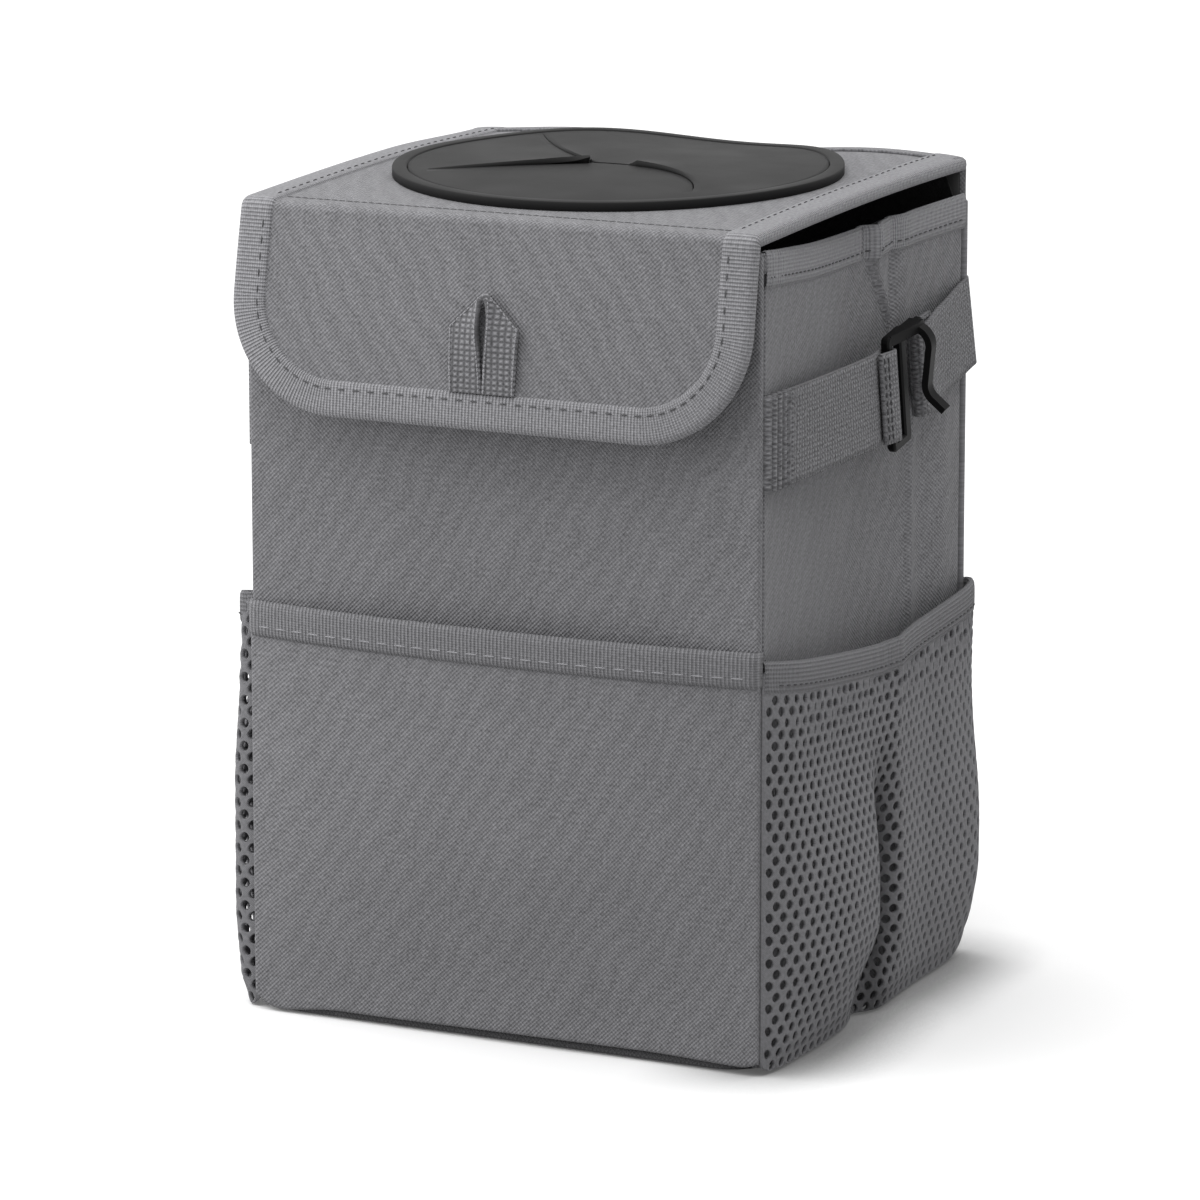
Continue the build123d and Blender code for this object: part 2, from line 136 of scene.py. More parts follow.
def addNode(tree, kind, inputs=None, **settings):
    made = tree.nodes.new("ShaderNode" + kind)
    for key, value in settings.items():
        setattr(made, key, value)
    for key, value in (inputs or {}).items():
        if isinstance(value, bpy.types.NodeSocket):
            tree.links.new(value, made.inputs[key])
        else:
            made.inputs[key].default_value = value
    return made.outputs


def calc(tree, operation, a, b=0.0, c=0.0):
    return addNode(tree, "Math", {0: a, 1: b, 2: c}, operation=operation)[0]


def threadWave(tree, line, pitch):
    return calc(tree, "SINE", calc(tree, "MULTIPLY", line, 2 * pi / pitch))


def speckle(tree, place, scale, detail):
    return addNode(tree, "TexNoise", {"Vector": place, "Scale": scale, "Detail": detail})[0]


def shade(tree, factor, dark, light):
    ramp = tree.nodes.new("ShaderNodeValToRGB")
    ramp.color_ramp.elements[0].color = (*dark, 1)
    ramp.color_ramp.elements[1].color = (*light, 1)
    tree.links.new(factor, ramp.inputs[0])
    return ramp.outputs[0]


def setRelief(tree, shader, height, strength, depth):
    inputs = {"Strength": strength, "Distance": depth * mm, "Height": height}
    tree.links.new(addNode(tree, "Bump", inputs)[0], shader.inputs["Normal"])


def setShader(shader, **values):
    for key, value in values.items():
        shader.inputs[key.replace("_", " ")].default_value = value


def greys(dark, light, tint=1.045):  # two tones with a touch of blue
    return [(level, level * 0.995, level * tint) for level in (dark, light)]


def cloth(name, weave="plain", pitch=(1.4, 1.4), cross=0.0, raised=0.35, contrast=0.2, patch=0.2,
          patchScale=0.05, grain=1.1, grainScale=0.9, bands=0.0, slant=(0.86, -0.52), waver=16.0,
          bandPitch=7.0, tones=greys(0.105, 0.345), relief=0.6, depth=0.3, fuzz=0.8, rough=0.86, sheen=0.12,
          shine=0.25, fold=0.0):
    made, tree, shader = newFinish(name)
    flat = addNode(tree, "UVMap", uv_map="weave")[0]
    parts = addNode(tree, "SeparateXYZ", {0: flat})
    warp, weft = (threadWave(tree, parts[i], pitch[i]) for i in (0, 1))
    if weave == "plain":
        thread = calc(tree, "MULTIPLY", warp, weft)
    elif weave == "ribs":
        thread = calc(tree, "MULTIPLY_ADD", weft, cross, warp)
    else:  # box weave of heavy webbing, raised squares between dark lines
        thread = calc(tree, "ADD", calc(tree, "MINIMUM", warp, weft), raised)
    clouds = speckle(tree, flat, patchScale, 3.0)
    grains = speckle(tree, flat, grainScale, 2.0)
    tone = calc(tree, "MULTIPLY_ADD", thread, contrast, 0.5)
    for spots, amount in ((clouds, patch), (grains, grain)):
        tone = calc(tree, "MULTIPLY_ADD", calc(tree, "SUBTRACT", spots, 0.5), amount, tone)
    if bands:  # faint slanting bands in the weave
        line = calc(tree, "MULTIPLY", parts[0], slant[0])
        line = calc(tree, "MULTIPLY_ADD", parts[1], slant[1], line)
        line = calc(tree, "MULTIPLY_ADD", clouds, waver, line)
        tone = calc(tree, "MULTIPLY_ADD", threadWave(tree, line, bandPitch), bands, tone)
    colour = shade(tree, tone, *tones)
    if fold:  # painted shade: the colour is darkened at the bottom of a fold, by the fold attribute
        paintedFoldShade = addNode(tree, "Attribute", attribute_name="fold")["Fac"]
        kept = calc(tree, "SUBTRACT", 1.0, calc(tree, "MULTIPLY", paintedFoldShade, fold))
        colour = addNode(tree, "VectorMath", {0: colour, "Scale": kept}, operation="SCALE")[0]
    tree.links.new(colour, shader.inputs["Base Color"])
    setRelief(tree, shader, calc(tree, "MULTIPLY_ADD", grains, fuzz, thread), relief, depth)
    setShader(shader, Roughness=rough, Sheen_Weight=sheen, Sheen_Roughness=0.5, Specular_IOR_Level=shine)
    return made


def moulded(name, cloudScale, grainScale, tones, rough, relief, shine, depth=0.1):
    made, tree, shader = newFinish(name)
    place = addNode(tree, "TexCoord")["Object"]
    cloud = speckle(tree, place, cloudScale, 4.0)
    tree.links.new(shade(tree, cloud, *tones), shader.inputs["Base Color"])
    gloss = addNode(tree, "MapRange", {"Value": cloud, 3: rough[0], 4: rough[1]})[0]
    tree.links.new(gloss, shader.inputs["Roughness"])
    setRelief(tree, shader, speckle(tree, place, grainScale, 2.0), relief, depth)
    setShader(shader, Specular_IOR_Level=shine)
    return made


greyCloth = cloth("grey_oxford_cloth", bands=0.05)
# the base cloth is darker than the walls, partly its own tone and partly painted shade of the rolled bottom
# edge
baseCloth = cloth("dark_base_cloth_and_painted_shade", tones=greys(0.05, 0.115))
bindingTape = cloth("ribbed_binding_tape", weave="ribs", pitch=(1.15, 0.8), cross=0.3, contrast=0.28,
                    tones=greys(0.19, 0.45), relief=0.8)
pocketTape = cloth("ribbed_pocket_tape", weave="ribs", pitch=(1.3, 0.8), cross=0.3, contrast=0.28,
                   tones=greys(0.14, 0.31), relief=0.8)
hemTape = cloth("hem_tape", weave="ribs", pitch=(0.9, 1.2), cross=0.8, contrast=0.14, tones=greys(0.21, 0.41))
elasticBand = cloth("elastic_band", weave="ribs", pitch=(0.8, 1.35), cross=1.6, contrast=0.13,
                    tones=greys(0.15, 0.27))
webbingStrap = cloth("grey_webbing", weave="box", pitch=(1.8, 1.5), contrast=0.24, grain=1.7,
                     tones=greys(0.07, 0.32), relief=0.9)
tabTape = cloth("tab_tape", weave="box", pitch=(2.1, 1.7), contrast=0.42, grain=0.9, tones=greys(0.06, 0.35),
                relief=0.7)
# fold darkens the mesh's colour in the valley of its fold: painted shade
netCloth = cloth("grey_mesh_cloth", pitch=(0.7, 0.7), tones=greys(0.15, 0.29), relief=0.4, fold=0.75)
blackLining = cloth("black_lining_cloth", tones=greys(0.008, 0.022), rough=0.6, relief=0.3, sheen=0.0)
threadLook = dict(weave="ribs", pitch=(0.5, 0.5), cross=0.2)
lightThread = cloth("light_thread", tones=greys(0.34, 0.5), **threadLook)
darkThread = cloth("dark_thread", tones=greys(0.05, 0.1), **threadLook)
greyThread = cloth("grey_thread", tones=greys(0.08, 0.16), **threadLook)
fastenerPile = cloth("touch_fastener", pitch=(1.6, 1.6), contrast=0.3, tones=greys(0.05, 0.12), relief=1.0,
                     rough=0.95)
hookPlastic = moulded("black_hook_plastic", cloudScale=90, grainScale=2600, tones=greys(0.004, 0.007),
                      rough=(0.42, 0.54), relief=0.12, shine=0.08)
mouthRubber = moulded("charcoal_rubber", cloudScale=30, grainScale=3200, tones=greys(0.014, 0.024, 1.0),
                      rough=(0.42, 0.72), relief=0.15, shine=0.1)
boardFinish = moulded("stiffener_board", cloudScale=40, grainScale=900, tones=greys(0.03, 0.06, 1.0),
                      rough=(0.7, 0.85), relief=0.3, shine=0.3)
print("materials ready")


# Mesh building

def newMesh():
    bm = bmesh.new()
    bm.loops.layers.uv.new("weave")
    return bm


def setUv(bm, pick):
    weave = bm.loops.layers.uv["weave"]
    for face in bm.faces:
        for loop in face.loops:
            loop[weave].uv = pick(loop.vert.co)


def sideUv(bm, pick):  # flat pattern coordinates straight from the places of the corners
    setUv(bm, lambda p: pick(p / mm))


def movedGrid(across, along, place, flat):
    bm = newMesh()
    bmesh.ops.create_grid(bm, x_segments=across, y_segments=along, size=0.5)
    setUv(bm, lambda p: flat(p.x + 0.5, p.y + 0.5))
    for vert in bm.verts:
        vert.co = place(vert.co.x + 0.5, vert.co.y + 0.5)
    return bm


def flatSize(width, length):
    return lambda u, v: (u * width, v * length)


def edgesWhere(bm, test):  # boundary edges whose two ends pass the test, in millimetres
    return [e for e in bm.edges if e.is_boundary and all(test(v.co / mm) for v in e.verts)]


def rollEdges(bm, edges, steps):  # turns a cloth edge round, step by step
    for step in steps:
        grown = bmesh.ops.extrude_edge_only(bm, edges=edges)["geom"]
        verts = [g for g in grown if isinstance(g, bmesh.types.BMVert)]
        bmesh.ops.translate(bm, vec=at(*step), verts=verts)
        edges = [g for g in grown if isinstance(g, bmesh.types.BMEdge) and all(v in verts for v in g.verts)]


def cutRound(bm, middle, radius, near=6.0):  # a round opening, with the corners near it drawn onto the circle
    inside = [f for f in bm.faces if (f.calc_center_median().xy / mm - middle).length < radius]
    bmesh.ops.delete(bm, geom=inside, context="FACES")
    for vert in bm.verts:
        away = vert.co.xy / mm - middle
        if vert.is_boundary and away.length < radius + near:
            vert.co.xy = (middle + away.normalized() * radius) * mm


def weld(bm, gap):
    bmesh.ops.remove_doubles(bm, verts=bm.verts, dist=gap * mm)


def faceOut(bm):
    bmesh.ops.recalc_face_normals(bm, faces=bm.faces)


def mirrored(bm):
    other = bm.copy()
    bmesh.ops.scale(other, vec=(-1, 1, 1), verts=other.verts)
    bmesh.ops.reverse_faces(other, faces=other.faces)
    return other


def absorb(bm, other):  # adds the other mesh to this one
    mesh = bpy.data.meshes.new("part")
    other.to_mesh(mesh)
    other.free()
    bm.from_mesh(mesh)
    bpy.data.meshes.remove(mesh)


def addPiece(name, bm, finish, body, nodes=(), slot=None, thick=0.0, side=-1.0, smooth=0, crisp=False):
    mesh = bpy.data.meshes.new(name)
    bm.to_mesh(mesh)
    bm.free()
    mesh.materials.append(finish)
    mesh.shade_smooth()
    piece = putObject(name, mesh)
    if smooth:
        soft = piece.modifiers.new("soft", "SUBSURF")
        soft.levels = smooth
        soft.render_levels = smooth
    if thick:
        wall = piece.modifiers.new("wall", "SOLIDIFY")
        wall.thickness = thick * mm
        wall.offset = side
    if crisp:  # flat faces shade flat, up to their edges
        piece.modifiers.new("even", "WEIGHTED_NORMAL")
    if body:
        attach(piece, body)
    if nodes:
        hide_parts(*nodes)
    return piece


def addPair(name, bm, finish, node, slot, other=None, **shape):  # right and left pieces of the body
    halves = dict(right=bm, left=other or mirrored(bm))
    return [addPiece(name + "_" + side, half, finish, "body", [side + "_" + node], slot, **shape)
            for side, half in halves.items()]


def sewRows(routes, pitch, length, width):  # rows of short rounded stitches along the routes
    bm = newMesh()
    shape = Matrix.Diagonal((width / 2, width / 2, length / 2, 1))
    for route in routes:
        points = [route(i / 120) for i in range(121)]
        total = sum((b - a).length for a, b in zip(points, points[1:])) / mm
        count = max(int(total / pitch), 1)
        for i in range(count):
            share = (i + 0.5) / count
            ahead = route(min(share + 0.004, 1.0)) - route(max(share - 0.004, 0.0))
            turn = ahead.to_track_quat("Z", "Y").to_matrix().to_4x4()
            bmesh.ops.create_uvsphere(bm, u_segments=6, v_segments=4, radius=mm,
                                      matrix=Matrix.Translation(route(share)) @ turn @ shape)
    return bm


def addThread(name, bm, finish, body):
    sideUv(bm, lambda p: (p.x + p.y, p.z))
    addPiece(name, bm, finish, body)


def addThreadPair(name, bm, finish, body):
    for side, half in dict(right=bm, left=mirrored(bm)).items():
        addThread(name + "_" + side, half, finish, body)


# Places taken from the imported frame

wallLow, wallHigh = nodeBox("front_panel")
halfWidth = wallHigh.x
frontY = wallLow.y
rearY = nodeBox("rear_panel")[1].y
floorTop = wallLow.z
frontTop = wallHigh.z
rearTop = nodeBox("rear_panel")[1].z
lidHigh = nodeBox("lid_panel")[1]
lidTop = lidHigh.z
lidHalf = lidHigh.x
hinges = {j["name"]: Vector(j["pos_m"]) / mm for j in frame["joints"]}


def cornerLift(gap, radius):  # how far a bottom edge rises near its rounded corner
    if gap >= radius:
        return 0.0
    return radius - (radius ** 2 - (radius - max(gap, 0.0)) ** 2) ** 0.5


# Front and rear walls

wall = dict(cells=(48, 64), edge=1.2, uneven=0.45, leftCorner=6.5, leftOval=0.62, rightCorner=4.0,
            rearCorner=13.0, cloth=0.8, topGap=0.6, room=1.2)
strip = dict(least=0.4, more=2.4, middle=0.6, less=0.4)
rollOut = [(0.7, 0.15), (0.4, 0.45), (0.1, 0.8), (-0.1, 0.8), (-0.7, 0.5), (-1.2, 0.1)]


def frontFoot(x):  # down to the floor at the left, with a dark strip of the base free elsewhere
    free = strip["more"] * ease(-84, -58, x) + strip["middle"] * ease(-50, 20, x)
    free = strip["least"] + free * (1 - strip["less"] * ease(50, 88, x))
    gap = halfWidth - abs(x)
    if x > 0:
        return free + cornerLift(gap, wall["rightCorner"])
    return free + cornerLift(wall["leftOval"] * gap, wall["leftCorner"])


def frontPlace(u, v):
    x = spread(halfWidth - wall["edge"], u)
    room = wall["room"] * ease(70, 77, abs(x))  # lower corners, for the tape of the open flap
    z = lerp(frontFoot(x), frontTop - wall["topGap"] - room, v)
    return at(x, frontY - wall["uneven"] * (0.5 + ripple(x / 45, z / 60, 1)), z)


def rollSides(bm, steps, toward, highest=lidTop):
    seam = halfWidth - wall["edge"] - 0.2
    for side in (-1, 1):
        edges = edgesWhere(bm, lambda p: p.x * side > seam and p.z <= highest)
        rollEdges(bm, edges, [(side * dx, toward * dy, 0) for dx, dy in steps])


frontBm = movedGrid(*wall["cells"], frontPlace, flatSize(2 * halfWidth, frontTop - floorTop))
rollSides(frontBm, rollOut, 1)
upperEdge = frontTop - wall["topGap"] - wall["room"] - 0.4
rollEdges(frontBm, edgesWhere(frontBm, lambda p: p.z > upperEdge and p.y < frontY + 1),
          [(0, 0.3, 0.5), (0, 1.0, 0.4), (0, 1.2, 0), (0, 0.5, -0.5), (0, 0, -6)])
sideUv(frontBm, lambda p: (p.x + p.y, p.z))
frontWall = addPiece("front_wall_cloth", frontBm, greyCloth, "body", ["front_panel"], "grey_cloth",
                     thick=wall["cloth"], smooth=1)

board = dict(cells=(40, 12), gap=1.2)


def boardSheet(node, facing, footAt):  # a stiffener, rounded like the cloth over it
    low, high = nodeBox(node)

    def place(u, v):
        x = lerp(low.x, high.x, u) * -facing
        foot = max(low.z, footAt(x) + board["gap"])
        return at(x, high.y if facing > 0 else low.y, lerp(foot, high.z, v))

    bm = movedGrid(*board["cells"], place, flatSize(high.x - low.x, high.z - low.z))
    addPiece(node + "_sheet", bm, boardFinish, "body", [node], "stiffener_board", thick=high.y - low.y)


boardSheet("front_board", -1, frontFoot)
boardSheet("rear_board", 1, lambda x: floorTop + cornerLift(halfWidth - abs(x), wall["rearCorner"]))

hinge = dict(overlap=9.0, cells=(44, 70))
hingeY = hinges["lid_hinge"].y
rearLine = walker([(rearY, floorTop), (rearY, 130), (rearY, rearTop - 8), (rearY, rearTop - 1),
                   (rearY + 0.7, lidTop - 1.2), (rearY - 0.6, lidTop + 0.9), (hingeY - 2, lidTop + 0.9),
                   (hingeY - hinge["overlap"], lidTop + 0.8)], 3)
crown = dict(rise=2.0, run=205.0, lead=0.6, wave=1.4, crest=-44.0, length=106.0, onset=(12, 70))


def lidCrown(x, y):  # the lid bows up a little and waves at its rear
    rise = crown["rise"] * sin(pi * clamp((y - frontY + crown["lead"]) / crown["run"]))
    wave = crown["wave"] * cos(2 * pi * (x - crown["crest"]) / crown["length"])
    return rise + wave * ease(*crown["onset"], y)


def rearPlace(u, v):
    x = spread(wall["edge"] - halfWidth, u)
    y, z = rearLine(v)
    z += cornerLift(halfWidth - abs(x), wall["rearCorner"]) * (1 - v) ** 3
    z += lidCrown(x, y) * ease(rearTop - 2, lidTop + 0.6, z)
    return at(x, y + wall["uneven"] * (0.5 + ripple(x / 45, z / 60, 2)) * (1 - v), z)


rearBm = movedGrid(*hinge["cells"], rearPlace, flatSize(2 * halfWidth, rearLine.length))
rollSides(rearBm, rollOut, -1, highest=rearTop - 6)
rearWall = addPiece("rear_wall_cloth", rearBm, greyCloth, None, ["rear_panel"], "grey_cloth",
                    thick=wall["cloth"], smooth=1)
print("front and rear walls ready")


# Base tray with its rolled edge

tray = dict(corner=16.0, roll=1.3)


def bevelEdges(bm, edges, offset, segments, clamped=False):
    bmesh.ops.bevel(bm, geom=edges, offset=offset * mm, segments=segments, profile=0.5, affect="EDGES",
                    material=-1, clamp_overlap=clamped)


def roundedSlab(node, corner):
    low, high = nodeBox(node)
    bm = newMesh()
    bmesh.ops.create_cube(bm, size=1.0)
    bmesh.ops.scale(bm, vec=(high - low) * mm, verts=bm.verts)
    bmesh.ops.translate(bm, vec=(high + low) / 2 * mm, verts=bm.verts)
    upright = [e for e in bm.edges if abs(e.verts[0].co.z - e.verts[1].co.z) > 0.2 * mm]
    bevelEdges(bm, upright, corner, 6)
    return bm


trayBm = roundedSlab("base_panel", tray["corner"])
bmesh.ops.delete(trayBm, geom=[f for f in trayBm.faces if f.normal.z > 0.9], context="FACES")
bevelEdges(trayBm, [e for e in trayBm.edges if all(v.co.z < 0.1 * mm for v in e.verts)], tray["roll"], 3)
sideUv(trayBm, lambda p: (p.x, p.y + p.z))
baseTray = addPiece("base_tray_cloth", trayBm, baseCloth, "body", ["base_panel"], "grey_cloth",
                    thick=wall["cloth"])
addPiece("base_board_sheet", roundedSlab("base_board", tray["corner"]), boardFinish, "body", ["base_board"],
         "stiffener_board")


# Folded sides with their hem tape

gusset = dict(cells=(160, 90), fold=7.0, soft=5.0, foot=0.55, uneven=0.7, gap=4.4, inset=0.4)
pleat = dict(top=242.0, foot=221.0, first=(14.0, 27.0), last=(30.0, 29.0), rise=1.9, sink=1.0, beside=0.8)
strapFolds = [(1.0, 44, 2.4), (-0.6, 51, 4.0), (1.0, 66, 7.0)]  # upright folds under the strap
rim = dict(low=253.9, front=6.4, rear=1.4)


def foldIn(y):  # 1 on the crease, 0 at the corner seams
    reach = (y * y + gusset["soft"] ** 2) ** 0.5 - gusset["soft"]
    full = (rearY ** 2 + gusset["soft"] ** 2) ** 0.5 - gusset["soft"]
    return 1 - reach / full


def pleatLift(y, z):  # a flat pleat under the hem that narrows to a point above the hook
    down = clamp((pleat["top"] - z) / (pleat["top"] - pleat["foot"]))
    first, last = lerp(*pleat["first"], down), lerp(*pleat["last"], down)
    lift = pleat["rise"] * ease(first - 1.2, first + 0.4, y) * (1 - ease(first + 0.4, last, y))
    lift += pleat["beside"] * bump(y, last + 8, 5) - pleat["sink"] * bump(y, last, 2.2)
    return lift * ease(pleat["foot"] - 9, pleat["foot"] + 6, z)


def sideX(y, z):
    depth = gusset["fold"] * lerp(gusset["foot"], 1.0, ease(20, 150, z))
    low = folds(y, strapFolds) * ease(95, 140, z) * (1 - ease(178, 206, z))
    soft = gusset["uneven"] * ripple(y / 24, z / 60, 3) * (1 - (y / rearY) ** 4)
    return halfWidth - gusset["inset"] - depth * foldIn(y) + pleatLift(y, z) + low + soft


def rimZ(y):
    return rim["low"] + rim["front"] * clamp(-y / rearY) ** 1.5 + rim["rear"] * clamp(y / rearY)


def gussetGrid(corner):
    def place(u, v):
        y = lerp(frontY + gusset["gap"], rearY - gusset["gap"], u)
        foot = 1.2 + cornerLift(rearY - y, wall["rearCorner"]) + cornerLift(y - frontY, corner)
        z = lerp(foot, rimZ(y) - 0.8, v)
        return at(sideX(y, z), y, z)

    bm = movedGrid(*gusset["cells"], place, flatSize(2 * rearY, 250))
    for end in (-1, 1):
        edges = edgesWhere(bm, lambda p: p.y * end > rearY - gusset["gap"] - 0.1)
        rollEdges(bm, edges, [(-0.6, end * 0.35, 0), (-1.2, end * 0.3, 0), (-1.6, 0, 0)])
    sideUv(bm, lambda p: (p.y - p.x, p.z))
    return bm


for piece in addPair("gusset_cloth", gussetGrid(wall["rightCorner"]), greyCloth, "gusset", "grey_cloth",
                     other=mirrored(gussetGrid(wall["leftCorner"])), thick=wall["cloth"]):
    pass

tapeThick = 0.35
hem = dict(cells=(110, 16), end=79.0, cord=0.45, cordPitch=3.2, sewn=77.0, row=8.2)
hemFolds = [(1.4, 15.5, 2.6), (-1.2, 10.5, 1.8)]
hemSection = walker([(-1.7, -10.8), (-1.8, -6), (-1.7, -0.8), (-0.6, 0.35), (0.4, 0.1), (0.85, -1.2),
                     (0.95, -6), (0.85, -11.0), (0.2, -11.5)], 2)


def hemX(y, z):  # ribs where it is gathered at the front, and a pleat over the crease
    cord = hem["cord"] * sin(2 * pi * y / hem["cordPitch"]) * (1 - ease(-70, -60, y))
    return sideX(y, z) + cord + folds(y, hemFolds)


def hemPlace(u, v):
    y = spread(hem["end"], u)
    out, down = hemSection(v)
    z = rimZ(y) + down
    return at(hemX(y, min(z, rimZ(y) - 1.5)) + out, y, z)


def hemRow(t):
    y = spread(hem["sewn"], t)
    return at(hemX(y, 245) + 1.0, y, rimZ(y) - hem["row"])


hemBm = movedGrid(*hem["cells"], hemPlace, flatSize(2 * hem["end"], hemSection.length))
bmesh.ops.reverse_faces(hemBm, faces=hemBm.faces)
addPair("rim_tape", hemBm, hemTape, "rim_binding", "binding_tape", thick=tapeThick)
addThreadPair("rim_stitches", sewRows([hemRow], pitch=3.6, length=2.5, width=0.6), darkThread, "body")
print("sides ready")


# Liner bag

liner = dict(inset=2.6, foot=3.2, cells=(120, 40), uneven=0.9, gap=3.4)
linerFront, linerRear = frontY + liner["gap"], rearY - liner["gap"]
linerRing = walker([(0, linerFront), (80, linerFront), (86, linerFront), (86, frontY + 8), (82, -30),
                    (79.5, 0), (82, 30), (86, rearY - 8), (86, linerRear), (80, linerRear),
                    (0, linerRear)], 2)


def linerPlace(u, v):
    side = 1 if u < 0.5 else -1
    share = 2 * u if u < 0.5 else 2 * (1 - u)
    x, y = linerRing(share)
    top = rimZ(y) - 1.0
    if x < 84:  # lower along the front and rear walls
        wallTop = rearTop - 0.2 if y > 0 else frontTop - 0.4
        top = lerp(top, wallTop, ease(rearY - 7, rearY - 3.6, abs(y)))
    z = lerp(liner["foot"], top, v)
    if x > 70 and abs(y) < rearY - 6:
        x = min(x, sideX(y, z) - liner["inset"])
    soft = liner["uneven"] * ripple(share * 18, z / 30, 4) * (1 - v) * (1 if x < 70 else 0.5)
    return at(side * (x - abs(soft) * 0.6), y * (1 - 0.006 * abs(soft)), z)


linerBm = movedGrid(*liner["cells"], linerPlace, flatSize(660, 255))
weld(linerBm, 0.05)
bmesh.ops.holes_fill(linerBm, edges=edgesWhere(linerBm, lambda p: p.z < liner["foot"] + 0.1), sides=0)
faceOut(linerBm)
linerBag = addPiece("liner_bag", linerBm, blackLining, "body", ["liner"], "black_liner", thick=0.5)


# Front pocket

pocket = dict(cells=(56, 52), bulge=6.4, footBulge=1.2, stand=0.9, uneven=0.5, round=2.4)
pocketTop = nodeBox("front_pocket_binding")[1].z
pocketHalf = halfWidth + 0.3


def pocketY(x, z):
    bulge = lerp(pocket["footBulge"], pocket["bulge"], ease(4, 70, z))
    soft = pocket["uneven"] * ripple(x / 40, z / 45, 5)
    return frontY - pocket["stand"] - (bulge + soft) * (1 - abs(x / halfWidth) ** pocket["round"])


def pocketPlace(u, v):
    x = spread(pocketHalf - wall["edge"], u)
    z = lerp(frontFoot(x) + 0.6, pocketTop - 1.0, v)
    return at(x, pocketY(x, z), z)


pocketBm = movedGrid(*pocket["cells"], pocketPlace, flatSize(2 * halfWidth, 132))
rollSides(pocketBm, rollOut[:4] + [(-0.5, 0.6)], 1)
rollEdges(pocketBm, edgesWhere(pocketBm, lambda p: p.z < floorTop + 8 and p.y < frontY),
          [(0, 0.3, -0.5), (0, 0.8, -0.5), (0, 1.2, -0.1)])
sideUv(pocketBm, lambda p: (p.x + p.y, p.z))
frontPocket = addPiece("front_pocket_cloth", pocketBm, greyCloth, "body", ["front_pocket"], "grey_cloth",
                       thick=wall["cloth"], smooth=1)

pocketEdge = dict(cells=(96, 16), over=0.4, tuck=2.0, sewn=86.0, row=7.8)
pocketSection = walker([(-1.6, -10.4), (-1.7, -6), (-1.6, -0.8), (-0.6, 0.3), (0.3, 0.2), (0.8, -0.8),
                        (0.95, -6), (0.85, -10.4), (0.1, -11.0)], 2)


def pocketTapePlace(u, v):
    x = spread(pocketHalf + pocketEdge["over"], u)
    out, down = pocketSection(v)
    z = pocketTop + down
    turn = ease(pocketHalf - 1.6, pocketHalf + 0.6, abs(x)) * pocketEdge["tuck"]  # round the corners
    return at(x, pocketY(clamp(x, -halfWidth, halfWidth), z) - out + turn, z)


def pocketRow(t):
    x, z = spread(pocketEdge["sewn"], t), pocketTop - pocketEdge["row"]
    return at(x, pocketY(x, z) - 1.2, z)


pocketTapeBm = movedGrid(*pocketEdge["cells"], pocketTapePlace, flatSize(2 * halfWidth, pocketSection.length))
addPiece("front_pocket_tape", pocketTapeBm, pocketTape, "body", ["front_pocket_binding"], "binding_tape",
         thick=tapeThick)
addThread("front_pocket_stitches", sewRows([pocketRow], pitch=6.2, length=4.6, width=0.62), lightThread,
          "body")
print("front pocket ready")


# Mesh side pockets

net = dict(pitch=6.0, row=3.65, hole=(1.88, 2.1), holeShare=(1.04, 0.74), zigzag=0.6, frame=0.15, wall=1.4,
           columns=33, rows=35, end=81.4, corner=21.0, foot=0.7, mouth=122.0, drawn=0.62)
frontRuns = dict(  # how far the wall stands off the side, against depth: a slope right, a full end left
    right=dict(mouth=[(0.6, -81.6), (1.6, -79), (4.4, -72), (6.4, -60), (5.8, -24)],
               low=[(0.6, -81.6), (2.0, -79), (5.6, -72), (9.4, -60), (11.4, -46), (11.6, -32), (10.6, -20)],
               foot=[(0.6, -81.6), (1.8, -79), (4.2, -72), (5.6, -60), (6.4, -40), (6.0, -26)]),
    left=dict(mouth=[(-1.2, -79.4), (4.6, -79.6), (6.6, -76), (7.2, -60), (5.8, -24)],
              low=[(-1.2, -79.4), (6.5, -79.8), (10.2, -76), (11.2, -62), (11.0, -46), (11.4, -32),
                   (10.6, -20)],
              foot=[(-1.2, -79.4), (5.2, -79.8), (8.0, -76), (8.0, -62), (6.8, -40), (6.0, -26)]))
rearRuns = dict(
    mouth=[(5.4, -6), (5.6, 2), (6.8, 8), (7.4, 11), (6.2, 16), (5.0, 30), (4.8, 50), (5.2, 70), (3.6, 81.2),
           (0.5, 81.4)],
    low=[(9.4, -11), (8.2, -5.5), (1.0, -3.5), (-2.2, -0.5), (-1.6, 2.5), (4.0, 5), (8.4, 8), (9.0, 10.5),
         (8.6, 14), (7.2, 24), (6.6, 40), (7.4, 60), (8.4, 74), (6.0, 81.4), (0.5, 81.4)],
    foot=[(2.0, -14), (-2.6, -9), (1.8, -5), (6.4, 1), (7.0, 6), (6.2, 14), (5.0, 30), (4.4, 54), (4.0, 74),
          (2.6, 81.2), (0.5, 81.4)])
pocketSides = dict(right=dict(corner=4.0, rise=10.5, full=(42, 98)),
                   left=dict(corner=5.0, rise=15.5, full=(74, 121)))
gathers = dict(count=27, height=0.5, level=112, spread=13)


def netSpot(lines, share, z):  # stand and depth of the mesh wall
    spot = lines["low"](share).lerp(lines["mouth"](share), ease(*lines["full"], z))
    spot = spot.lerp(lines["foot"](share), 1 - ease(3, 34, z))
    free = clamp(spot.x / 4) * clamp((net["mouth"] - 1 - z) / 8)
    gather = gathers["height"] * sin(2 * pi * share * gathers["count"] + 2 * ripple(share * 9, 0, 12))
    gather *= bump(z, gathers["level"], gathers["spread"])
    return spot.x + free * (0.8 * ripple(share * 9, z / 40, 6) + gather), spot.y


netBm = newMesh()
bmesh.ops.create_grid(netBm, x_segments=2 * net["columns"], y_segments=net["rows"], size=0.5)
cellX, cellY = 1 / (2 * net["columns"]), 1 / net["rows"]


def netIndex(point):
    return round((point.x + 0.5) / cellX), round((point.y + 0.5) / cellY)


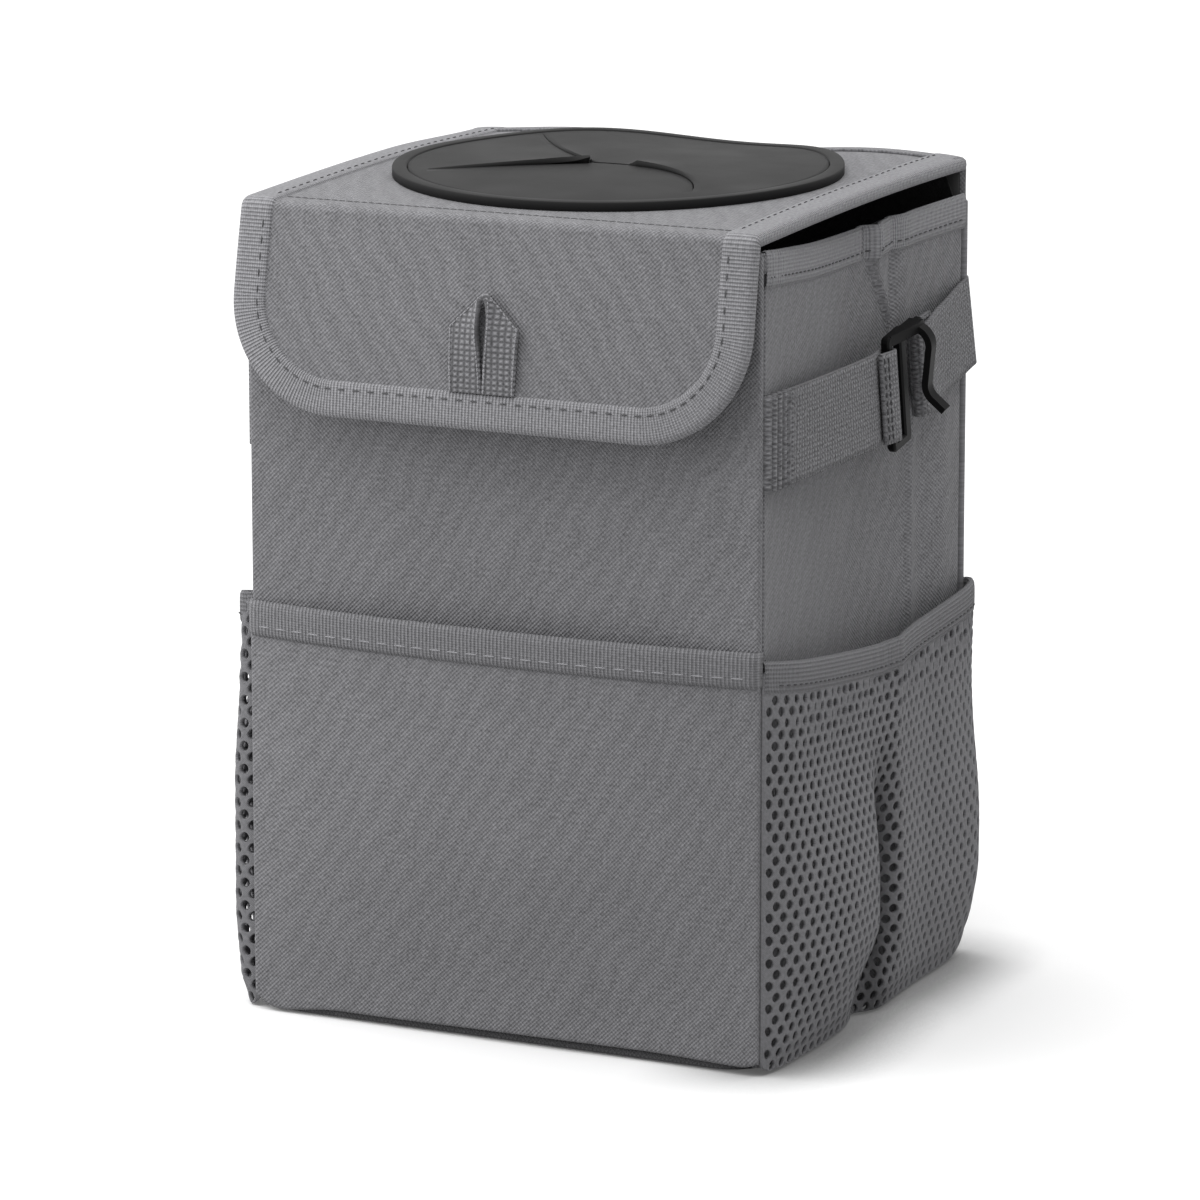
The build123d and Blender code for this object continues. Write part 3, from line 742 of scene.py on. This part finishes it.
joined = []  # every other upright thread goes, shifted on each row, so that an opening has six corners
for edge in netBm.edges:
    a, b = (netIndex(v.co) for v in edge.verts)
    if a[0] == b[0] and 0 < a[0] < 2 * net["columns"] and (a[0] + min(a[1], b[1])) % 2 == 0:
        joined.append(edge)
bmesh.ops.dissolve_edges(netBm, edges=joined, use_verts=False)
netWide, netTall = net["pitch"] * net["columns"], net["row"] * net["rows"]
for vert in netBm.verts:
    i, j = netIndex(vert.co)
    if 0 < j < net["rows"]:
        vert.co.y += (1 if (i + j) % 2 else -1) * net["zigzag"] / netTall
openings = list(netBm.faces)
bmesh.ops.inset_individual(netBm, faces=openings, thickness=net["frame"] * cellX, depth=0)
for face in openings:
    middle = face.calc_center_median()
    drawnIn = lerp(*net["holeShare"], ease(0.54, 0.7, middle.x + 0.5))  # drawn closer at the rear
    for vert in face.verts:
        away = Vector(((vert.co.x - middle.x) * netWide, (vert.co.y - middle.y) * netTall)).normalized()
        vert.co.x = middle.x + away.x * net["hole"][0] * drawnIn / netWide
        vert.co.y = middle.y + away.y * net["hole"][1] / netTall
bmesh.ops.delete(netBm, geom=[f for f in openings if len(f.verts) >= 5], context="FACES")
setUv(netBm, lambda p: ((p.x + 0.5) * netWide, (p.y + 0.5) * netTall))

band = dict(cells=(96, 18), front=1.15, rear=(5.0, 1.7), row=7.4, sewn=(0.03, 0.97))
bandSection = walker([(-1.4, -10.0), (-1.5, -5), (-1.4, -0.8), (-0.5, 0.4), (0.5, 0.3), (1.1, -0.9),
                      (1.2, -5.5), (1.1, -10.0), (0.3, -10.7)], 2)


def sidePocket(side, corner, rise, full):  # full: the heights between which the wall draws in to its mouth
    lines = {level: walker(run + rearRuns[level], 3) for level, run in frontRuns[side].items()}
    lines["full"] = full

    def mouthAt(y):
        front = rise * clamp(-y / rearY) ** band["front"]
        return net["mouth"] + front + band["rear"][0] * clamp(y / rearY) ** band["rear"][1]

    def bandPoint(share, out, down):
        top = mouthAt(lines["mouth"](share).y)
        stand, y = netSpot(lines, share, top - 4)
        return at(halfWidth + stand + out, y, top + down)

    wallBm = netBm.copy()
    # painted shade: a per-vertex amount by which the net's colour is darkened in its valley
    foldShadeLayer = wallBm.verts.layers.float.new("fold")
    for vert in wallBm.verts:
        share = vert.co.x + 0.5
        y = spread(net["end"], share)
        foot = net["foot"] + cornerLift(rearY - y, net["corner"]) + cornerLift(y - frontY, corner)
        z = lerp(foot, mouthAt(y) - 3.0, vert.co.y + 0.5)
        stand, y = netSpot(lines, share, z)
        stand *= lerp(net["drawn"], 1.0, ease(0, 9, z - foot))  # drawn in at the bottom
        vert.co = at(halfWidth + stand, y, z)
        # painted shade: strongest near mid-depth, low down, where the net lies far back in the valley
        vert[foldShadeLayer] = bump(y, 1, 8) * ease(9.4, 2, stand) * ease(100, 60, z)
    bandBm = movedGrid(*band["cells"], lambda u, v: bandPoint(u, *bandSection(v)),
                       flatSize(200, bandSection.length))
    bmesh.ops.reverse_faces(bandBm, faces=bandBm.faces)
    thread = sewRows([lambda t: bandPoint(lerp(*band["sewn"], t), 1.35, -band["row"])], pitch=3.3, length=2.1,
                     width=0.6)
    if side == "left":
        wallBm, bandBm, thread = (mirrored(bm) for bm in (wallBm, bandBm, thread))
    bandPiece = addPiece("pocket_band_" + side, bandBm, elasticBand, "body", [side + "_pocket_elastic"],
                         "elastic_band", thick=tapeThick)
    netPiece = addPiece("mesh_pocket_net_" + side, wallBm, netCloth, "body", [side + "_mesh_pocket"], "mesh",
                        thick=net["wall"], side=0.0, smooth=1)
    addThread("pocket_band_stitches_" + side, thread, darkThread, "body")


for side, shape in pocketSides.items():
    sidePocket(side, **shape)
print("mesh pockets ready")


# Straps and hooks

strap = dict(width=30.0, thick=1.3, tilt=10.0, x=halfWidth + 2.2, barY=12.2, barZ=200.1, hookY=20.0,
             hookZ=201.5, post=16.5, rear=67.9, cord=0.7, cordPitch=3.3, sewn=14.0)
tilt = radians(strap["tilt"])
sx, barY = strap["x"], strap["barY"]
frontStrapLine = walker([
    (halfWidth - 0.9, frontY + 2.2), (halfWidth + 0.5, frontY + 1.6), (halfWidth + 0.9, frontY + 6),
    (sx - 0.3, -50), (sx, -30), (sx, -4), (sx - 0.4, 4), (sx - 2.2, barY - 2.6), (sx - 2.4, barY + 1.2),
    (sx - 1.2, barY + 3.1), (sx + 1.2, barY + 3.1), (sx + 2.4, barY + 1.2), (sx + 2.3, barY - 2.6),
    (sx + 1.9, 6.5), (sx + 1.55, 3.2)], 3)


def frontStrapPlace(u, v):
    x, y = frontStrapLine(u)
    z = strap["barZ"] + (v - 0.5) * strap["width"]
    cord = strap["cord"] * sin(2 * pi * y / strap["cordPitch"]) * (1 - ease(-68, -58, y))
    y -= (z - strap["barZ"]) * tan(tilt) * ease(-60, -12, y)
    return at(x + cord, y, z)


frontStrapBm = movedGrid(190, 14, frontStrapPlace, flatSize(frontStrapLine.length, strap["width"]))
for piece in addPair("front_strap_webbing", frontStrapBm, webbingStrap, "front_strap", "webbing",
                     thick=strap["thick"], side=0.0):
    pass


def acrossStrap(y, x):  # a row of stitches across the folded strap end
    def route(t):
        up = spread(strap["sewn"], t)
        return at(x, y - up * tan(tilt), strap["barZ"] + up)
    return route


strapRows = [acrossStrap(4.6, sx + 2.45), acrossStrap(7.0, sx + 2.75)]
addThreadPair("strap_stitches", sewRows(strapRows, pitch=2.6, length=2.1, width=0.75), darkThread, "body")

post, rear = strap["post"], strap["rear"]
halfRun = [(sx - 1.5, post + 14), (sx - 2.3, post + 5), (sx - 2.4, post - 0.8), (sx - 1.2, post - 3.0),
           (sx + 1.2, post - 3.0), (sx + 2.4, post - 0.8), (sx + 2.2, post + 5), (sx + 0.3, post + 16),
           (sx - 0.2, post + 28), (sx - 0.8, rear - 14), (sx - 1, rear - 8), (sx - 1, rear), (sx - 9, rear),
           (sx - 16, rear)]
hangLine = walker(halfRun + [(0, rear)] + [(-x, t) for x, t in halfRun[::-1]], 3)


def hangPlace(u, v):
    x, t = hangLine(u)
    w = (v - 0.5) * strap["width"]
    lean = (1.1 + 0.04 * w) * ease(38, 64, t)  # turned in at the rear corner
    x, t = x - 0.5 * lean * clamp(x / 60, -1, 1), t - lean
    y, z = t * cos(tilt) - w * sin(tilt), t * sin(tilt) + w * cos(tilt)
    return at(x, strap["hookY"] + y, strap["hookZ"] + z)


hangBm = movedGrid(330, 12, hangPlace, flatSize(hangLine.length, strap["width"]))
hangStrap = addPiece("hanging_strap_webbing", hangBm, webbingStrap, "body", ["hanging_strap"], "webbing",
                     thick=strap["thick"], side=0.0)

hook = dict(sharp=radians(25), round=0.2)
for side in ("right", "left"):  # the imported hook, with its edges softened
    hookBm = bmesh.new()
    hookBm.from_mesh(frame["nodes"][side + "_hook"].data)
    weld(hookBm, 0.01)
    sharp = [e for e in hookBm.edges if len(e.link_faces) == 2 and e.calc_face_angle() > hook["sharp"]]
    bevelEdges(hookBm, sharp, hook["round"], 2, clamped=True)
    addPiece("hook_" + side, hookBm, hookPlastic, "body", [side + "_hook"], "hook_plastic", crisp=True)
print("straps and hooks ready")


# Lid and flap: one cloth runs from the lid over the crease to the flap's lower edge

top = dict(rear=79.0, creaseY=frontY - 0.6, crease=3.2, lean=8.0, flap=62.4, corner=36.0, cells=(118, 170),
           bow=0.9, footBow=0.9, twist=0.015, uneven=0.5, cloth=0.8, under=3.0)
creaseZ = lidTop - top["crease"]
lidRun = top["rear"] - top["creaseY"]
creaseTurn = radians(90 - top["lean"])
flapStart = lidRun + top["crease"] * creaseTurn
topLength = flapStart + top["flap"]


def topPoint(x, s, lift=0.0):  # s runs from the lid's rear to the flap's foot, lift is off the cloth's face
    if s <= lidRun:
        y = top["rear"] - s
        return at(x, y, lidTop + lidCrown(x, y) + lift)
    turn = min((s - lidRun) / top["crease"], creaseTurn)
    run = max(s - flapStart, 0.0)
    share = run / top["flap"]
    bow = top["bow"] * sin(pi * share) + share * (top["footBow"] - top["twist"] * x)
    bow += top["uneven"] * share * ripple(x / 50, run / 40, 8)
    reach = max(top["crease"] + lift, 0.25) + bow
    ahead, up = cos(pi / 2 + turn), sin(pi / 2 + turn)
    return at(x, top["creaseY"] + reach * ahead - run * up, creaseZ + reach * up + run * ahead)


def halfAt(s):  # half width, with the flap's two lower corners rounded
    return lidHalf - cornerLift(topLength - s, top["corner"])


topRows = [(0, 0), (0.52, lidRun - 8), (0.76, flapStart + 4), (1, topLength)]  # closer rows over the crease


def topSpot(u, v):
    for (low, first), (high, last) in zip(topRows, topRows[1:]):
        if v < high:
            break
    s = lerp(first, last, (v - low) / (high - low))
    return (2 * u - 1) * halfAt(s), s


topBm = movedGrid(*top["cells"], lambda u, v: topPoint(*topSpot(1 - u, v)), lambda u, v: topSpot(1 - u, v))
mouthLow, mouthHigh = nodeBox("mouth")
mouthY = (mouthLow.y + mouthHigh.y) / 2
mouthRadius = mouthHigh.x
mouthMiddle = Vector((0, mouthY))
cutRound(topBm, mouthMiddle, mouthRadius - 10)
topCloth = addPiece("lid_and_flap_cloth", topBm, greyCloth, None, ["lid_panel", "flap_panel"], "grey_cloth",
                    thick=top["cloth"])


def liningPiece(name, first, last, nodes, body, hole):
    def spot(u, v):
        s = lerp(first, last, v)
        return (2 * u - 1) * (halfAt(s) - 0.8), s

    bm = movedGrid(70, 60, lambda u, v: topPoint(*spot(u, v), 0.3 - top["under"]), spot)
    if hole:
        cutRound(bm, mouthMiddle, mouthRadius - 11)
    made = addPiece(name, bm, blackLining, body, nodes, "black_liner", thick=0.5, side=1.0)


liningPiece("lid_lining_cloth", 0.5, lidRun - 0.5, ["lid_lining", "lid_board"], "lid", True)
liningPiece("flap_lining_cloth", flapStart + 1.5, topLength - 0.5, ["flap_lining", "flap_board"], "flap",
            False)

binding = dict(cells=(420, 20), inset=8.1, lift=0.95)
bindingSection = walker([(10.9, -2.6), (10.6, -3.6), (6, -3.8), (0.9, -3.75), (-0.5, -3.4), (-0.9, -2.2),
                         (-0.9, -0.8), (-0.5, 0.45), (0.9, 0.85), (6, 0.95), (10.6, 0.8), (10.95, -0.2)], 2)
sideRun = topLength - top["corner"]
arcRun = top["corner"] * pi / 2
footRun = 2 * (lidHalf - top["corner"])
edgeRun = 2 * sideRun + 2 * arcRun + footRun


def edgeSpot(d, inset):  # a place at an inset from the edge, d millimetres on from the lid's rear left corner
    if d > edgeRun / 2:
        x, s = edgeSpot(edgeRun - d, inset)
        return -x, s
    if d <= sideRun:
        return inset - lidHalf, d
    if d <= sideRun + arcRun:
        turn = (d - sideRun) / top["corner"]
        reach = top["corner"] - inset
        return -lidHalf + top["corner"] - reach * cos(turn), sideRun + reach * sin(turn)
    return -lidHalf + top["corner"] + d - sideRun - arcRun, topLength - inset


def bindingPlace(u, v):
    inset, lift = bindingSection(v)
    return topPoint(*edgeSpot(u * edgeRun, inset), lift)


bindingBm = movedGrid(*binding["cells"], bindingPlace, flatSize(edgeRun, bindingSection.length))
topBinding = addPiece("lid_and_flap_binding", bindingBm, bindingTape, None,
                      ["left_lid_binding", "right_lid_binding", "flap_binding"], "binding_tape",
                      thick=tapeThick)


def bindingRow(first, last):
    def route(t):
        return topPoint(*edgeSpot(lerp(first, last, t), binding["inset"]), binding["lift"])
    return sewRows([route], pitch=4.6, length=2.6, width=0.55)


def creaseShadeRow(t):  # painted shade: a row of short dark grey stitches stands in for the shade line where the lid's board ends
    return topPoint(spread(77, t), lidRun - 5.0, 0.05)


addThread("lid_stitches_left", bindingRow(4, lidRun - 4), darkThread, "lid")
addThread("lid_stitches_right", bindingRow(edgeRun - lidRun + 4, edgeRun - 4), darkThread, "lid")
addThread("flap_stitches", bindingRow(flapStart + 2, edgeRun - flapStart - 2), greyThread, "flap")
addThread("lid_crease_painted_shade", sewRows([creaseShadeRow], pitch=2.6, length=2.5, width=0.5), greyThread, "lid")

tab = dict(leg=11.1, height=31.2, shoulder=20.5, flare=0.7, point=1.05, slit=3.2, foot=10.6, stand=1.2,
           bow=0.9, tip=0.7, rise=2.3, thick=1.3, cells=(12, 34), cords=(0.06, 0.96))


def tabSpot(u, v):  # across a leg from the slit outward, and up its height
    rise = v * tab["height"]
    outer = tab["leg"] + tab["flare"] * min(rise / tab["shoulder"], 1)
    outer -= tab["point"] * max(rise - tab["shoulder"], 0)
    slit = (0.2 + tab["slit"] / 2 * ease(0.0, 0.8, v)) * (1 - ease(0.93, 1.0, v))
    return lerp(min(slit, outer), outer, u), topLength - tab["foot"] - rise


def tabPlace(u, v, over=0.0):
    stand = tab["stand"] + tab["bow"] * sin(pi * v) + tab["tip"] * ease(0.75, 1.0, v)
    stand += tab["rise"] * (1 - u) ** 2 * ease(0.1, 0.75, v)  # the slit's edges stand up
    return topPoint(*tabSpot(u, v), stand + over)


tabCords = [lambda t, u=u: tabPlace(u, lerp(0.01, 0.97, t), 0.1) for u in tab["cords"]]  # edges of the tape
addThreadPair("tab_edge", sewRows(tabCords, pitch=1.3, length=1.25, width=0.6), lightThread, "flap")
tabBm = movedGrid(*tab["cells"], tabPlace, lambda u, v: (tabSpot(u, v)[0], v * tab["height"]))
absorb(tabBm, mirrored(tabBm))
bmesh.ops.reverse_faces(tabBm, faces=[f for f in tabBm.faces if f.normal.y > 0])
addPiece("pull_tab_tape", tabBm, tabTape, "flap", ["pull_tab"], "webbing", thick=tab["thick"])

patch = dict(half=30.0, halfHeight=10.0, middle=39.0, under=4.1, stand=1.3, thick=1.2, cells=(30, 12))
patchLow, patchHigh = nodeBox("loop_patch")


def hookPatch(u, v):
    s = flapStart + patch["middle"] + spread(patch["halfHeight"], v)
    return topPoint(spread(patch["half"], u), s, -patch["under"])


def loopPatch(u, v):
    x, z = spread(patch["half"], u), lerp(patchLow.z, patchHigh.z, v)
    return at(x, frontY - patch["stand"], z)


for name, place, body, node in (("flap_hook_patch", hookPatch, "flap", "hook_patch"),
                                ("wall_loop_patch", loopPatch, "body", "loop_patch")):
    patchBm = movedGrid(*patch["cells"], place, flatSize(2 * patch["half"], 2 * patch["halfHeight"]))
    faceOut(patchBm)
    addPiece(name, patchBm, fastenerPile, body, [node], "touch_fastener", thick=patch["thick"], side=0.0)
print("lid and flap ready")


# Rubber mouth: a raised rim and four leaves with curved slits

mouth = dict(leaf=67.5, thick=1.7, hub=(-7.0, -5.0), cells=(30, 44), level=2.6, gap=0.24, dome=0.9,
             flat=(90, 65))
slits = [dict(start=62, swing=-4, end=0.0), dict(start=140, swing=-10, end=1.0),
         dict(start=214, swing=0, end=0.92), dict(start=370, swing=-50, end=0.9)]
leafLift = [dict(first=0.0, last=0.95), dict(first=0.0, last=2.3), dict(first=-0.3, last=-0.2),
            dict(first=2.2, last=0.0, onset=(0.17, 0.22))]  # the last lip starts away from the hub


def leafReach(angle):  # from the meeting point of the slits to the rim
    hub, ahead = Vector(mouth["hub"]), Vector((cos(angle), sin(angle)))
    return (hub.dot(ahead) ** 2 - hub.length_squared + mouth["leaf"] ** 2) ** 0.5 - hub.dot(ahead)


def slitAngle(slit, share):
    return radians(slit["start"] + slit["swing"] * share)


def opened(slit, share):  # 1 along the open part of a slit
    return 1 - ease(slit["end"] - 0.12, slit["end"], share) if slit["end"] else 0.0


def lipShape(slit, share):  # highest at the hub, level where the slit ends
    return opened(slit, share) * (1 - share / max(slit["end"], 0.1))


def leafPlace(which):
    lift = leafLift[which]
    first, last = slits[which], slits[(which + 1) % len(slits)]

    def place(u, v):
        share = lerp(0.012, 1.0, v)
        start, stop = slitAngle(first, share), slitAngle(last, share)
        while stop < start:
            stop += 2 * pi
        gap = mouth["gap"] / (share * mouth["leaf"])
        angle = lerp(start + gap * opened(first, share), stop - gap * opened(last, share), u)
        reach = share * leafReach(angle)
        x, y = mouth["hub"][0] + reach * cos(angle), mouth["hub"][1] + reach * sin(angle)
        onset = ease(*lift["onset"], share) if "onset" in lift else 1.0
        raised = lift["first"] * (1 - u) ** 3 * lipShape(first, share) * onset
        raised += lift["last"] * u ** 3 * lipShape(last, share)
        dome = mouth["dome"] * (1 - Vector((x, y)).length_squared / mouth["leaf"] ** 2)
        return at(x, y + mouthY, lidTop + mouth["level"] + lidCrown(x, y + mouthY) + raised + dome)
    return place


leavesBm = newMesh()
for which in range(len(slits)):
    absorb(leavesBm, movedGrid(*mouth["cells"], leafPlace(which), flatSize(*mouth["flat"])))
weld(leavesBm, 0.03)
faceOut(leavesBm)
bmesh.ops.reverse_faces(leavesBm, faces=[f for f in leavesBm.faces if f.normal.z < 0])
addPiece("mouth_leaves", leavesBm, mouthRubber, "lid", ["mouth"], "mouth_rubber", thick=mouth["thick"],
         crisp=True)

rimBm = bmesh.new()
rimProfile = [(-12.5, 0.2), (-12.5, 1.0), (-8.3, 2.0), (-5.4, 2.3), (-5.1, 1.6), (-4.8, 1.6), (-4.6, 2.85),
              (-4.2, 3.0), (-0.45, 3.0), (-0.12, 2.9), (0, 2.6), (0, 0.1), (-0.4, 0.0)]
rimVerts = [rimBm.verts.new(at(mouthRadius + r, 0, z)) for r, z in rimProfile]
rimEdges = [rimBm.edges.new(pair) for pair in zip(rimVerts, rimVerts[1:])]
bmesh.ops.spin(rimBm, geom=rimVerts + rimEdges, cent=(0, 0, 0), axis=(0, 0, 1), angle=2 * pi, steps=144,
               use_merge=True)
weld(rimBm, 0.01)
faceOut(rimBm)
for vert in rimBm.verts:
    vert.co.y += mouthY * mm
    vert.co.z += (lidTop + lidCrown(vert.co.x / mm, vert.co.y / mm)) * mm
addPiece("mouth_rim", rimBm, mouthRubber, "lid", (), "mouth_rubber")
print("mouth ready")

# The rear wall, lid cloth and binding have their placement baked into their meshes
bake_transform(rearWall)
for piece in (topCloth, topBinding):
    at(0, top["creaseY"] + 0.4, lidTop)
    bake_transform(piece)


# Floor, light and camera

# the floor's painted contact shadow: its reach, its darkest tone (dark) and where its right side begins
# (right)
stage = dict(size=30.0, sunk=0.4, bounce=0.4, paintedShadowReach=0.032, glow=0.08, dark=0.04, light=0.96,
             right=(0.05, 0.1), sky=0.55, back=1.0)


def emptyTree(holder):
    holder.use_nodes = True
    holder.node_tree.nodes.clear()
    return holder.node_tree


def seenDirectly(tree):  # by the camera, in a mirror or through glass
    rays = addNode(tree, "LightPath")
    seen = calc(tree, "MAXIMUM", rays["Is Camera Ray"], rays["Is Glossy Ray"])
    return calc(tree, "MAXIMUM", seen, rays["Is Transmission Ray"])


floorBm = bmesh.new()
bmesh.ops.create_grid(floorBm, x_segments=1, y_segments=1, size=stage["size"] / 2)
floorMesh = bpy.data.meshes.new("floor")
floorBm.to_mesh(floorMesh)
floorBm.free()
floor = putObject("floor", floorMesh)
floor.location.z = -stage["sunk"] * mm
floorFinish = bpy.data.materials.new("pale_floor")
tree = emptyTree(floorFinish)
# painted contact shadow: ambient occlusion darkens the floor's colour close to the body
near = addNode(tree, "AmbientOcclusion", {"Distance": stage["paintedShadowReach"]}, samples=8)["AO"]
near = addNode(tree, "MapRange", {"Value": near, "From Min": 0.4})[0]
across = addNode(tree, "SeparateXYZ", {0: addNode(tree, "TexCoord")["Object"]})["X"]
away = {"Value": across, "From Min": stage["right"][0], "From Max": stage["right"][1]}
away = addNode(tree, "MapRange", away)[0]  # the painted contact shadow is darker by the right side
near = calc(tree, "SUBTRACT", 1.0, calc(tree, "MULTIPLY", calc(tree, "SUBTRACT", 1.0, near), away))
paint = shade(tree, near, (stage["dark"],) * 3, (stage["light"],) * 3)
white = addNode(tree, "BsdfDiffuse", {"Color": paint})[0]
dim = addNode(tree, "BsdfDiffuse", {"Color": (stage["bounce"],) * 3 + (1,)})[0]
glow = addNode(tree, "Emission", {"Color": (1, 1, 1, 1), "Strength": stage["glow"]})[0]
lit = addNode(tree, "AddShader", {0: white, 1: glow})[0]
mixed = addNode(tree, "MixShader", {0: seenDirectly(tree), 1: dim, 2: lit})[0]
addNode(tree, "OutputMaterial", {"Surface": mixed})
floorMesh.materials.append(floorFinish)

world = bpy.data.worlds.new("studio")
bpy.context.scene.world = world
tree = emptyTree(world)
sky = addNode(tree, "Background", {"Color": (1, 1, 1, 1), "Strength": stage["sky"]})[0]
back = addNode(tree, "Background", {"Color": (1, 1, 1, 1), "Strength": stage["back"]})[0]
mixed = addNode(tree, "MixShader", {0: seenDirectly(tree), 1: sky, 2: back})[0]
addNode(tree, "OutputWorld", {"Surface": mixed})

key = bpy.data.lights.new("key", "SUN")  # a wide soft light overhead
key.energy = 2.05
key.angle = radians(75)
keyLamp = putObject("key", key)
keyLamp.rotation_euler = Vector((0.08, 0.05, -1.0)).to_track_quat("-Z", "Y").to_euler()
fill = bpy.data.lights.new("fill", "AREA")  # a panel at the front left
fill.energy = 1.4
fill.size = 0.5
fillLamp = putObject("fill", fill)
fillLamp.location = (-0.42, -0.3, 0.36)
fillLamp.rotation_euler = (Vector((0, 0, 0.13)) - fillLamp.location).to_track_quat("-Z", "Y").to_euler()
fillLamp.visible_camera = False

view = dict(azimuth=25.6, elevation=12.45, distance=2.082, aim=(0, 0, 0.1325), lens=192.4, sensor=36.0,
            shift=(-0.0119, -0.0139), far=100.0)
azimuth, elevation = radians(view["azimuth"]), radians(view["elevation"])
backward = Vector((sin(azimuth) * cos(elevation), -cos(azimuth) * cos(elevation), sin(elevation)))
camera = bpy.data.cameras.new("camera")
camera.lens = view["lens"]
camera.sensor_width = view["sensor"]
camera.shift_x, camera.shift_y = view["shift"]
camera.clip_end = view["far"]
cameraStand = putObject("camera", camera)
cameraStand.location = Vector(view["aim"]) + backward * view["distance"]
cameraStand.rotation_euler = backward.to_track_quat("Z", "Y").to_euler()
bpy.context.scene.camera = cameraStand
bpy.context.scene.view_settings.view_transform = "Standard"

print("scene ready")
